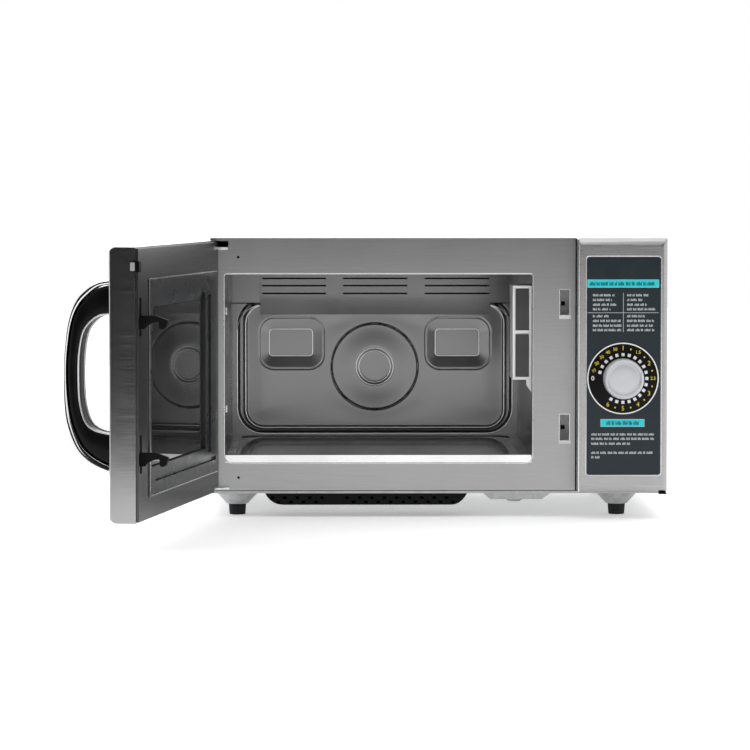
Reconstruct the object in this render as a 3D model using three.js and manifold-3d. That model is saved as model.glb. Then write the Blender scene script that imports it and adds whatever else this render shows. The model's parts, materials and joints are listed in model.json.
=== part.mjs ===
// Counter-top microwave oven with a dial control, built as an assembly of separate pieces.
// Units are millimetres and +Z is up. The pieces are drawn in the cabinet's frame: X = 0 on the
// cabinet's centre line, Y = 0 at the face of the front plate (+Y goes to the back), Z = 0 under
// the feet. The last lines move the whole group so that its origin is the middle of its base.
// The door stands open in the rest position.
import * as THREE from "three";
import { mergeVertices } from "three/addons/utils/BufferGeometryUtils.js";
import Module from "manifold-3d";

const wasm = await Module();
wasm.setup();

// ---- driving dimensions ----
const GAP = 0.3; // left between pieces that touch
const SHEET = 1.2; // thickness of the cabinet's sheet steel
const CABINET_LEFT = -260;
const CABINET_RIGHT = 256;
const CABINET_TOP = 317.3;
const CABINET_BACK = 388;
const BASE_Z = 27.3; // underside of the base plate
const PLATE_BOTTOM = 30.7; // lower edge of the front plate
const PLATE_RIGHT = 153.7; // right edge of the front plate
const CAVITY_LEFT = -244.3;
const CAVITY_RIGHT = 105.1;
const CAVITY_TOP = 276.3; // upper edge of the opening
const CAVITY_CEILING = 292;
const CAVITY_BOTTOM = 62; // steel floor pan, and lower edge of the opening
const SHELF_TOP = 70; // upper face of the shelf that food stands on
const CAVITY_BACK = 368;
const CAVITY_MID = (CAVITY_LEFT + CAVITY_RIGHT) / 2;
const SLOT_X = 141.5; // middle of the two latch slots
const SLOT_HALF_WIDTH = 5.5;
const SLOT_HALF_HEIGHT = 16.5;
const SLOT_HEIGHTS = { upper: 242.2, lower: 100.5 };
const FOOT_HEIGHT = 12.5;
const FOOT_X = [-231, 204];
const FOOT_Y = [45, 345];
const BEZEL_LEFT = 154.9;
const BEZEL_FRONT = -33.2;
const BEZEL_BOTTOM = 30.3;
const BEZEL_WALL = 2;
// How far each edge of the bezel's face is bevelled, and how deep the bevel goes.
const BEZEL_BEVEL = { left: 2, right: 5.8, bottom: 8.6, top: 8, depth: 7 };
const DIAL_X = 205.4; // the timer's shaft
const DIAL_Z = 159.6;
const SHAFT_RADIUS = 3;
const DOOR_OPEN_DEG = 99.8; // how far the door stands open at rest
const HINGE_X = -256; // the door's vertical pivot line
const HINGE_Y = -6.5;
const PIN_RADIUS = 2.2;
// The door in its own frame: x runs from the pivot to the free edge, y from the outer face to
// the inner face, z as in the cabinet.
const DOOR_END = -4; // hinge end
const DOOR_FREE = 409.5; // free edge
const DOOR_OUTER = -26.7; // outer face
const DOOR_SEAM = 1.3; // where the outer shell meets the inner pan
const DOOR_INNER = 4.3; // inner face
const DOOR_Z = [29.5, 314.5];
const DOOR_SHEET = 1.5;
const LATCH_X = SLOT_X - HINGE_X; // the hooks' distance from the pivot

// ---- solids ----

// A closed geometry as a manifold solid.
function solid(geometry) {
  const bare = geometry.clone();
  bare.deleteAttribute("normal");
  bare.deleteAttribute("uv");
  const merged = mergeVertices(bare, 1e-3);
  return new wasm.Manifold(
    new wasm.Mesh({
      numProp: 3,
      vertProperties: merged.attributes.position.array,
      triVerts: new Uint32Array(merged.index.array),
    }),
  );
}

function box(x0, x1, y0, y1, z0, z1) {
  const geometry = new THREE.BoxGeometry(x1 - x0, y1 - y0, z1 - z0);
  geometry.translate((x0 + x1) / 2, (y0 + y1) / 2, (z0 + z1) / 2);
  return solid(geometry);
}

function join(...parts) {
  return parts.reduce((all, part) => all.add(part));
}

function cut(body, ...tools) {
  return tools.reduce((left, tool) => left.subtract(tool), body);
}

// A rectangle with round corners.
function roundedRect(x0, x1, y0, y1, r) {
  const shape = new THREE.Shape();
  shape.moveTo(x0 + r, y0);
  shape.lineTo(x1 - r, y0);
  shape.absarc(x1 - r, y0 + r, r, -Math.PI / 2, 0);
  shape.lineTo(x1, y1 - r);
  shape.absarc(x1 - r, y1 - r, r, 0, Math.PI / 2);
  shape.lineTo(x0 + r, y1);
  shape.absarc(x0 + r, y1 - r, r, Math.PI / 2, Math.PI);
  shape.lineTo(x0, y0 + r);
  shape.absarc(x0 + r, y0 + r, r, Math.PI, 1.5 * Math.PI);
  return shape;
}

function extrude(shape, depth, curveSegments = 4) {
  return new THREE.ExtrudeGeometry(shape, { depth, curveSegments, bevelEnabled: false });
}

// A shape drawn in X and Z, extruded along Y from y0 to y1.
function alongY(shape, y0, y1, curveSegments) {
  const geometry = extrude(shape, y1 - y0, curveSegments);
  geometry.rotateX(Math.PI / 2);
  geometry.translate(0, y1, 0);
  return solid(geometry);
}

// A shape drawn in Y and Z, extruded along X from x0 to x1.
function alongX(shape, x0, x1, curveSegments) {
  const geometry = extrude(shape, x1 - x0, curveSegments);
  geometry.rotateX(Math.PI / 2);
  geometry.rotateZ(Math.PI / 2);
  geometry.translate(x0, 0, 0);
  return solid(geometry);
}

// A shape drawn in X and Y, extruded along Z from z0 to z1.
function alongZ(shape, z0, z1, curveSegments) {
  const geometry = extrude(shape, z1 - z0, curveSegments);
  geometry.translate(0, 0, z0);
  return solid(geometry);
}

// A profile of [radius, height] points turned about the Z axis at x, y.
function turned(profile, x, y, segments = 24) {
  const points = profile.map(([radius, height]) => new THREE.Vector2(radius, height));
  const geometry = new THREE.LatheGeometry(points, segments);
  geometry.rotateX(Math.PI / 2);
  geometry.translate(x, y, 0);
  return solid(geometry);
}

// A profile of [radius, y] points turned about the line through x, z along Y.
function turnedY(profile, x, z, segments = 24) {
  const points = profile.map(([radius, y]) => new THREE.Vector2(radius, y));
  const geometry = new THREE.LatheGeometry(points, segments);
  geometry.translate(x, 0, z);
  return solid(geometry);
}

function discZ(x, y, r, z0, z1, segments) {
  const rim = [[0, z0], [r, z0], [r, z1], [0, z1]];
  return turned(rim, x, y, segments);
}

function discY(x, z, r, y0, y1, segments) {
  const rim = [[0, y0], [r, y0], [r, y1], [0, y1]];
  return turnedY(rim, x, z, segments);
}

// The solid between two outlines with the same number of points, drawn in X and Z at y0 and y1.
function loft(near, far, y0, y1) {
  const count = near.length;
  const positions = [];
  near.forEach((p) => positions.push(p.x, y0, p.y));
  far.forEach((p) => positions.push(p.x, y1, p.y));
  const index = [];
  for (let i = 0; i < count; i++) {
    const next = (i + 1) % count;
    index.push(i, next, count + i, next, count + next, count + i);
  }
  THREE.ShapeUtils.triangulateShape(near, []).forEach(([a, b, c]) => {
    index.push(a, c, b);
    index.push(count + a, count + b, count + c);
  });
  // The outlines run anticlockwise seen from the front, so the sides above face inwards.
  for (let i = 0; i < index.length; i += 3) {
    [index[i + 1], index[i + 2]] = [index[i + 2], index[i + 1]];
  }
  const geometry = new THREE.BufferGeometry();
  geometry.setAttribute("position", new THREE.Float32BufferAttribute(positions, 3));
  geometry.setIndex(index);
  return solid(geometry);
}

// The points of a rectangle with round corners, anticlockwise, the same number for every radius.
function roundedRing(x0, x1, y0, y1, r) {
  const steps = 5;
  const centres = [[x1 - r, y0 + r], [x1 - r, y1 - r], [x0 + r, y1 - r], [x0 + r, y0 + r]];
  const ring = [];
  centres.forEach(([x, y], corner) => {
    for (let i = 0; i <= steps; i++) {
      const angle = ((corner - 1 + i / steps) * Math.PI) / 2;
      ring.push(new THREE.Vector2(x + r * Math.cos(angle), y + r * Math.sin(angle)));
    }
  });
  return ring;
}

// A tapered pad: a rounded rectangle at y0 that narrows by `slope` on every side at y1.
function taperedPad(x0, x1, z0, z1, r, slope, y0, y1) {
  const near = roundedRing(x0, x1, z0, z1, r);
  const far = roundedRing(x0 + slope, x1 - slope, z0 + slope, z1 - slope, Math.max(r - slope, 1));
  return loft(near, far, y0, y1);
}

// A box with walls of the given thickness, open at the back. At the front its upper and lower
// edges are rounded by `edge` and its two upright ones by `side`.
function pillowShell(x0, x1, z0, z1, front, back, edge, side, wall) {
  const pillow = (inset) => {
    const near = front + inset;
    const far = back + 2 * edge;
    const [left, right] = [x0 + inset, x1 - inset];
    const [low, high] = [z0 + inset, z1 - inset];
    const profile = alongX(roundedRect(near, far, low, high, edge - inset), left, right, 5);
    const plan = alongZ(roundedRect(left, right, near, far, side - inset), low, high, 2);
    const cap = box(x0 - 1, x1 + 1, front - 1, inset ? back + 1 : back, z0 - 1, z1 + 1);
    return profile.intersect(plan).intersect(cap);
  };
  return cut(pillow(0), pillow(wall));
}

// ---- the scene graph ----
const oven = new THREE.Group();
const cabinet = new THREE.Group();
const door = new THREE.Group();
oven.add(cabinet, door);
door.position.set(HINGE_X, HINGE_Y, 0);
door.rotation.z = (-DOOR_OPEN_DEG * Math.PI) / 180;

const FINISH = {
  brushed: { color: 0xa6a7a8, roughness: 0.35, metalness: 1 },
  plated: { color: 0x8f9192, roughness: 0.5, metalness: 1 },
  polished: { color: 0xd8d8da, roughness: 0.12, metalness: 1 },
  black: { color: 0x141517, roughness: 0.45, metalness: 0 },
  slate: { color: 0x323c42, roughness: 0.4, metalness: 0 },
  knob: { color: 0xc9cacb, roughness: 0.3, metalness: 0.6 },
  ceramic: { color: 0x6c6d6e, roughness: 0.3, metalness: 0 },
  white: { color: 0xd9dad8, roughness: 0.5, metalness: 0 },
  glass: { color: 0x1c1f21, roughness: 0.05, metalness: 0 },
  copper: { color: 0xa85a2a, roughness: 0.4, metalness: 0.8 },
  board: { color: 0x2d5a3a, roughness: 0.6, metalness: 0 },
  iron: { color: 0x4c4e50, roughness: 0.6, metalness: 0.8 },
};

// Puts a solid into a group as a named mesh with its own material.
function piece(group, name, body, finish) {
  const data = body.getMesh();
  const geometry = new THREE.BufferGeometry();
  geometry.setAttribute("position", new THREE.BufferAttribute(data.vertProperties, 3));
  geometry.setIndex(new THREE.BufferAttribute(data.triVerts, 1));
  geometry.computeVertexNormals();
  const mesh = new THREE.Mesh(geometry, new THREE.MeshStandardMaterial(FINISH[finish]));
  mesh.name = name;
  group.add(mesh);
  return mesh;
}

// ---- base, feet and intake ----
const CONE_TOP = 26; // radius of the pressed cone at the base plate
const CONE_FOOT = 12; // radius of the cone's flat end
const FLANGE_TOP = 44;
const RIB_BOTTOM = 19.3; // underside of the pressed rib in the base plate
const INTAKE = { left: -199, right: 32, front: 10, back: 74, bottom: 13.4, wall: 1.5 };
const INTAKE_HOLES = { first: -190.5, pitch: 14.2, half: 2, count: 15, gap: [-130, -108] };

// The pressed cone over each foot, as a solid; `skin` shrinks it for the hollow inside.
function footCone(x, y, skin) {
  const profile = [
    [0, FOOT_HEIGHT + skin],
    [CONE_FOOT - skin, FOOT_HEIGHT + skin],
    [CONE_TOP - skin, BASE_Z + skin],
    [CONE_TOP - skin, BASE_Z + SHEET + skin],
    [0, BASE_Z + SHEET + skin],
  ];
  return turned(profile, x, y);
}

function makeBase() {
  const left = CABINET_LEFT + SHEET + GAP;
  const right = CABINET_RIGHT - SHEET - GAP;
  const back = CABINET_BACK - SHEET - GAP;
  const above = FLANGE_TOP + 10;
  let plate = box(left, right, 0, back, BASE_Z, FLANGE_TOP);
  const hollow = box(left + SHEET, right - SHEET, SHEET, back - SHEET, BASE_Z + SHEET, above);
  // The front flange stays low, under the front plate and the bezel.
  const overFlange = box(left - 1, right + 1, -1, SHEET + GAP + 4, BEZEL_BOTTOM - GAP, above);
  plate = cut(plate, hollow, overFlange);
  for (const x of FOOT_X) {
    for (const y of FOOT_Y) {
      plate = cut(join(plate, footCone(x, y, 0)), footCone(x, y, SHEET));
    }
  }
  // A shallow pressed rib to the right of the intake, with a small boss under it.
  const rib = (skin) => {
    const shape = new THREE.Shape();
    shape.moveTo(48 + skin, BASE_Z + 0.2 + skin);
    shape.lineTo(58 + skin, RIB_BOTTOM + skin);
    shape.lineTo(117 - skin, RIB_BOTTOM + skin);
    shape.lineTo(128 - skin, BASE_Z + 0.2 + skin);
    shape.lineTo(128 - skin, BASE_Z + 2 * skin + 0.4);
    shape.lineTo(48 + skin, BASE_Z + 2 * skin + 0.4);
    return alongY(shape, 14 + skin, 60 - skin);
  };
  plate = cut(join(plate, rib(0)), rib(SHEET));
  const bossLow = RIB_BOTTOM - 3.2;
  const bossTop = RIB_BOTTOM + 0.5;
  const boss = [[0, bossLow], [7, bossLow], [12, bossTop], [0, bossTop]];
  plate = join(plate, turned(boss, 86, 30, 20));
  piece(cabinet, "base_plate", plate, "plated");
}

function makeFeet() {
  const top = FOOT_HEIGHT - GAP;
  // The sole has a round recess in the middle.
  const profile = [[0, 3], [4, 3], [4, 0], [8.4, 0], [9.2, 0.8], [10, top], [0, top]];
  FOOT_X.forEach((x, column) => {
    FOOT_Y.forEach((y, row) => {
      const name = "foot_" + ["front", "rear"][row] + "_" + ["left", "right"][column];
      piece(cabinet, name, turned(profile, x, y, 20), "black");
    });
  });
}

// The black air intake under the front: a trough with sloped ends and two rows of holes.
function makeIntake() {
  const { left, right, front, back, bottom, wall } = INTAKE;
  const top = BASE_Z - GAP;
  const trough = (inset) => {
    const shape = new THREE.Shape();
    const low = bottom + inset;
    const high = top + (inset ? 1 : 0);
    shape.moveTo(left + inset, high);
    shape.quadraticCurveTo(left + 7 + inset, low, left + 21 + inset, low);
    shape.lineTo(right - 18 - inset, low);
    shape.quadraticCurveTo(right - 8 - inset, low, right - inset, high);
    return alongY(shape, front + inset, back - inset, 5);
  };
  let grille = cut(trough(0), trough(wall));
  const { first, pitch, half, count, gap } = INTAKE_HOLES;
  for (const row of [0, 1]) {
    const z = bottom + 3.2 + row * 5;
    for (let i = 0; i < count; i++) {
      const x = first + (i + (1 - row) / 2) * pitch;
      const inGap = x > gap[0] && x < gap[1];
      const onFloor = x > left + 12 && x < right - 12;
      if (!inGap && (row || onFloor)) {
        const hole = box(x - half, x + half, front - 1, front + 3, z - 1.5, z + 1.5);
        grille = cut(grille, hole);
      }
    }
  }
  piece(cabinet, "intake_grille", grille, "black");
}

// ---- cavity ----
function openingShape(grow) {
  const shape = new THREE.Shape();
  const x0 = CAVITY_LEFT - grow;
  const x1 = CAVITY_RIGHT + grow;
  const z0 = CAVITY_BOTTOM - grow;
  const z1 = CAVITY_TOP + grow;
  const r = 9;
  const s = 2;
  shape.moveTo(x0 + r, z0);
  shape.lineTo(x1 - r, z0);
  shape.absarc(x1 - r, z0 + r, r, -Math.PI / 2, 0);
  shape.lineTo(x1, z1 - s);
  shape.lineTo(x1 - s, z1);
  shape.lineTo(x0 + s, z1);
  shape.lineTo(x0, z1 - s);
  shape.lineTo(x0, z0 + r);
  shape.absarc(x0 + r, z0 + r, r, Math.PI, 1.5 * Math.PI);
  return shape;
}

function slotHole(z, grow, y0, y1) {
  const x0 = SLOT_X - SLOT_HALF_WIDTH - grow;
  const x1 = SLOT_X + SLOT_HALF_WIDTH + grow;
  const z0 = z - SLOT_HALF_HEIGHT - grow;
  const z1 = z + SLOT_HALF_HEIGHT + grow;
  return box(x0, x1, y0, y1, z0, z1);
}

const HINGE_ARM = { left: -262, right: -240, front: -12, thick: 2 };
const HINGE_Z = { upper: 306, lower: 33.6 };
const SCREW_X = -228.6;

function makeFrontPlate() {
  let plate = box(CABINET_LEFT, PLATE_RIGHT, 0, SHEET, PLATE_BOTTOM, CABINET_TOP);
  plate = cut(plate, alongY(openingShape(0), -1, 3, 5));
  for (const z of Object.values(SLOT_HEIGHTS)) {
    plate = cut(plate, slotHole(z, 0, -1, 3));
  }
  // The hinge arms come through two slits at the left edge.
  for (const z of Object.values(HINGE_Z)) {
    const half = HINGE_ARM.thick / 2 + GAP;
    const top = z > 100 ? z + 8 : z + half; // the upper slit is taller than its arm
    plate = cut(plate, box(CABINET_LEFT + 1, HINGE_ARM.right + GAP, -1, 3, z - half, top));
  }
  const screws = { upper: 295.7, lower: 45.4 };
  for (const z of Object.values(screws)) {
    plate = cut(plate, discY(SCREW_X, z, 1.2, -1, 3, 12));
  }
  // The right edge turns back and then out behind the bezel, and closes the gap beside it.
  const inner = PLATE_RIGHT - SHEET;
  const turnedBack = box(inner, PLATE_RIGHT, 0, 13, FLANGE_TOP + 1, CABINET_TOP - 2.3);
  const behind = box(inner, PLATE_RIGHT + 18, 13 - SHEET, 13, FLANGE_TOP + 1, CABINET_TOP - 2.3);
  plate = join(plate, turnedBack, behind);
  piece(cabinet, "cavity_front_plate", plate, "brushed");
  for (const [where, z] of Object.entries(screws)) {
    const head = [[0, -0.7], [1.1, -0.7], [1.7, -GAP], [0.9, -GAP], [0.9, 8], [0, 8]];
    piece(cabinet, "front_screw_" + where, turnedY(head, SCREW_X, z, 12), "black");
  }
}

const STIRRER_Y = 185;
const GUIDE = { left: -20, right: 225, front: 140, back: 230 };

function makeCavity() {
  const y0 = SHEET + GAP;
  const y1 = CAVITY_BACK - GAP;
  const ceiling = CAVITY_CEILING;
  const outer = box(CAVITY_LEFT - 1, CAVITY_RIGHT + 1, y0, y1, CAVITY_BOTTOM - 1, ceiling + 1);
  const inner = box(CAVITY_LEFT, CAVITY_RIGHT, y0 - 1, y1 + 1, CAVITY_BOTTOM, ceiling);
  let shell = cut(outer, inner);
  // The rounded front lip of the floor.
  const lip = new THREE.Shape();
  lip.moveTo(y0, CAVITY_BOTTOM - 0.5);
  lip.lineTo(16, CAVITY_BOTTOM - 0.5);
  lip.lineTo(16, SHELF_TOP);
  lip.lineTo(y0 + 7, SHELF_TOP);
  lip.absarc(y0 + 7, SHELF_TOP - 7, 7, Math.PI / 2, Math.PI);
  shell = join(shell, alongX(lip, CAVITY_LEFT - 0.5, CAVITY_RIGHT + 0.5, 4));
  // The ceiling has a hole for the waveguide and one for the stirrer's shaft; the right wall
  // has a window for the lamp.
  shell = cut(shell, box(8, 92, 148, 222, ceiling - 1, ceiling + 3));
  shell = cut(shell, discZ(CAVITY_MID, STIRRER_Y, 4, ceiling - 1, ceiling + 3, 12));
  shell = cut(shell, box(CAVITY_RIGHT - 1, CAVITY_RIGHT + 3, 62, 92, 215, 245));
  piece(cabinet, "cavity_shell", shell, "brushed");
}

const STEP = 3; // depth of each step of the large pressing in the back wall
const BAND_FRONT = CAVITY_BACK - 6; // face of the plain band above that pressing

function makeBackWall() {
  const y = CAVITY_BACK;
  const left = CAVITY_LEFT - 1;
  const right = CAVITY_RIGHT + 1;
  let wall = box(left, right, y, y + SHEET, CAVITY_BOTTOM - 1, CAVITY_CEILING + 1);
  const panel = { x0: -238, x1: 98, z0: CAVITY_BOTTOM + 9, z1: 236, r: 34 };
  // Each pressing is added at the back, larger by the sheet's thickness, and cut at the front.
  const press = (x0, x1, z0, z1, r, slope, near, deep) => {
    const g = SHEET;
    const back = taperedPad(x0 - g, x1 + g, z0 - g, z1 + g, r + g, slope, near, deep + g);
    wall = join(wall, back);
    return () => {
      wall = cut(wall, taperedPad(x0, x1, z0, z1, r, slope, near - 0.01, deep));
    };
  };
  const cuts = [];
  cuts.push(press(panel.x0, panel.x1, panel.z0, panel.z1, panel.r, 2, y, y + STEP));
  cuts.push(press(-228, 89, 77, 230.5, 24, 2, y + STEP, y + 2 * STEP));
  const field = y + 2 * STEP; // the face that the pockets and the ring are pressed into
  cuts.push(press(-211.7, -132.7, 150.5, 213.6, 14, 12, field, field + 9));
  cuts.push(press(-7.6, 72, 150.5, 213.6, 14, 12, field, field + 9));
  cuts.forEach((doCut) => doCut());
  // The round pressing in the middle: a groove, and a raised ring inside it.
  const ringX = -70.2;
  const ringZ = 153.4;
  const groove = [[52, field - 1], [54, field - 1], [54, field + 0.7], [52, field + 0.7]];
  wall = cut(wall, turnedY([...groove, groove[0]], ringX, ringZ, 32));
  const ring = [
    [20.5, field + 0.2],
    [21.5, field - 1.6],
    [23.5, field - 1.6],
    [25.5, field + 0.2],
    [20.5, field + 0.2],
  ];
  wall = join(wall, turnedY(ring, ringX, ringZ, 32));
  // The plain band that stands proud across the top of the wall.
  wall = join(wall, box(CAVITY_LEFT + GAP, CAVITY_RIGHT - GAP, BAND_FRONT, y + 0.5, 231, 288));
  piece(cabinet, "cavity_back_wall", wall, "brushed");
}

function makeVentCover() {
  // The louvred cover on the band; its lower part leans forward a little.
  const front = BAND_FRONT - GAP;
  const profile = new THREE.Shape();
  profile.moveTo(front, 234.5);
  profile.lineTo(front, 274);
  profile.lineTo(front - 8, 274);
  profile.lineTo(front - 8, 234.5);
  profile.lineTo(front - 8.8, 218);
  profile.lineTo(front, 218);
  let cover = alongX(profile, -210, 71);
  const groups = [[-208, -130], [-109, -30.5], [-9, 70]];
  for (const [x0, x1] of groups) {
    for (const z of [262.2, 253.3, 243.8]) {
      cover = cut(cover, box(x0, x1, front - 9, front - 2, z - 0.9, z + 0.9));
    }
  }
  piece(cabinet, "rear_vent_cover", cover, "brushed");
}

function makeShelf() {
  const x0 = CAVITY_LEFT + GAP;
  const x1 = CAVITY_RIGHT - GAP;
  const y1 = CAVITY_BACK - GAP - 0.5;
  let shelf = box(x0, x1, 16 + GAP, y1, CAVITY_BOTTOM + GAP, SHELF_TOP);
  const step = roundedRect(CAVITY_MID - 163, CAVITY_MID + 163, 30, 352, 28);
  shelf = cut(shelf, alongZ(step, SHELF_TOP - 1.2, SHELF_TOP + 1, 5));
  piece(cabinet, "ceramic_shelf", shelf, "ceramic");
}

function makeStirrer() {
  const x0 = CAVITY_LEFT + GAP;
  const x1 = CAVITY_RIGHT - GAP;
  const cover = box(x0, x1, SHEET + 2 * GAP, CAVITY_BACK - 15, CAVITY_TOP + 0.4, CAVITY_TOP + 2.4);
  piece(cabinet, "stirrer_cover", cover, "white");
  // Four bent blades on a hub, and the shaft up to the motor.
  const z = 284;
  let blade = discZ(CAVITY_MID, STIRRER_Y, 9, z - 3, z + 3, 16);
  for (let i = 0; i < 4; i++) {
    const vane = new THREE.BoxGeometry(62, 34, 1.2);
    vane.rotateX((6 * Math.PI) / 180);
    vane.translate(37, 0, 0);
    vane.rotateZ((i * Math.PI) / 2);
    vane.translate(CAVITY_MID, STIRRER_Y, z);
    blade = join(blade, solid(vane));
  }
  blade = join(blade, discZ(CAVITY_MID, STIRRER_Y, 2.5, z, 300, 12));
  piece(cabinet, "stirrer_blade", blade, "plated");
  // The motor sits on the ceiling, with a hole for the shaft.
  const base = CAVITY_CEILING + 1 + GAP;
  let motor = discZ(CAVITY_MID, STIRRER_Y, 25, base, base + 17, 20);
  motor = join(motor, box(CAVITY_MID - 33, CAVITY_MID + 33, 180, 190, base, base + 2));
  motor = cut(motor, discZ(CAVITY_MID, STIRRER_Y, 3, base - 1, 301, 12));
  piece(cabinet, "stirrer_motor", motor, "plated");
}

function makeWaveguide() {
  const z0 = CAVITY_CEILING + 1 + GAP;
  const z1 = z0 + 18;
  const { left, right, front, back } = GUIDE;
  let guide = box(left, right, front, back, z0, z1);
  guide = cut(guide, box(left + 1, right - 1, front + 1, back - 1, z0 + 1, z1 - 1));
  guide = cut(guide, box(8, 92, 148, 222, z0 - 1, z0 + 2));
  guide = cut(guide, discZ(190, 185, 17, z0 - 1, z0 + 2, 20));
  piece(cabinet, "waveguide", guide, "plated");
}

// The lamp's cover stands on the right wall: a white frame with two dark panes.
function makeLamp() {
  const x0 = 83;
  const x1 = CAVITY_RIGHT - GAP;
  const z0 = 156;
  const z1 = 263;
  let cover = box(x0, x1, 10, 84, z0, z1);
  cover = cut(cover, box(x0 + 2.5, x1 + 1, 16, 81.5, z0 + 2.5, z1 - 2.5));
  const half = (z0 + z1) / 2 + 1;
  const paneX = [x0 + 3, x1 - 3];
  cover = cut(cover, box(paneX[0], paneX[1], 9, 12.5, z0 + 3, half - 1.6));
  cover = cut(cover, box(paneX[0], paneX[1], 9, 12.5, half + 1.6, z1 - 3));
  const tab = new THREE.Shape();
  tab.moveTo(x1 - 6, z0 + 0.5);
  tab.lineTo(x1 - 6, z0 - 6);
  tab.lineTo(x1, z0 - 15);
  tab.lineTo(x1, z0 + 0.5);
  cover = join(cover, alongY(tab, 10, 16));
  piece(cabinet, "lamp_cover", cover, "white");
  const wall = CAVITY_RIGHT + 1 + GAP;
  const socket = box(wall, wall + 6, 58, 96, 208, 252);
  const bulb = new THREE.SphereGeometry(11, 16, 10);
  bulb.translate(wall + 18, 77, 230);
  const neck = box(wall + 5, wall + 12, 70, 84, 223, 237);
  piece(cabinet, "oven_lamp", join(socket, neck, solid(bulb)), "white");
}

// ---- the cabinet's outside ----
function makeWrap() {
  const y0 = SHEET + GAP;
  const y1 = CABINET_BACK - SHEET - GAP;
  const z0 = BASE_Z + 1;
  const outer = box(CABINET_LEFT, CABINET_RIGHT, y0, y1, z0, CABINET_TOP);
  const left = CABINET_LEFT + SHEET;
  const right = CABINET_RIGHT - SHEET;
  const wrap = cut(outer, box(left, right, y0 - 1, y1 + 1, z0 - 1, CABINET_TOP - SHEET));
  piece(cabinet, "outer_wrap", wrap, "brushed");
}

function makeRear() {
  const y1 = CABINET_BACK;
  let panel = box(CABINET_LEFT, CABINET_RIGHT, y1 - SHEET, y1, BASE_Z + 1, CABINET_TOP);
  // Slots for the cooling air behind the fan, and the exhaust behind the cavity.
  for (let i = 0; i < 9; i++) {
    const z = 152 + i * 12;
    panel = cut(panel, box(132, 232, y1 - 3, y1 + 1, z, z + 4));
  }
  for (let i = 0; i < 8; i++) {
    const x = -200 + i * 36;
    panel = cut(panel, box(x, x + 26, y1 - 3, y1 + 1, 262, 266));
    panel = cut(panel, box(x, x + 26, y1 - 3, y1 + 1, 272, 276));
  }
  panel = cut(panel, discY(215, 70, 9, y1 - 3, y1 + 1, 20));
  piece(cabinet, "rear_panel", panel, "plated");
  // The gland where the mains lead comes in.
  const gland = [[3.5, y1 - 8], [8.6, y1 - 8], [8.6, y1 + GAP], [13, y1 + GAP]];
  gland.push([13, y1 + 4], [3.5, y1 + 4], [3.5, y1 - 8]);
  piece(cabinet, "cord_gland", turnedY(gland, 215, 70, 20), "black");
}

// ---- control side ----
const OVERLAY = { x0: 164.7, x1: 247.6, z0: 50.9, z1: 296.3, r: 3, recess: 1 };

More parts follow.
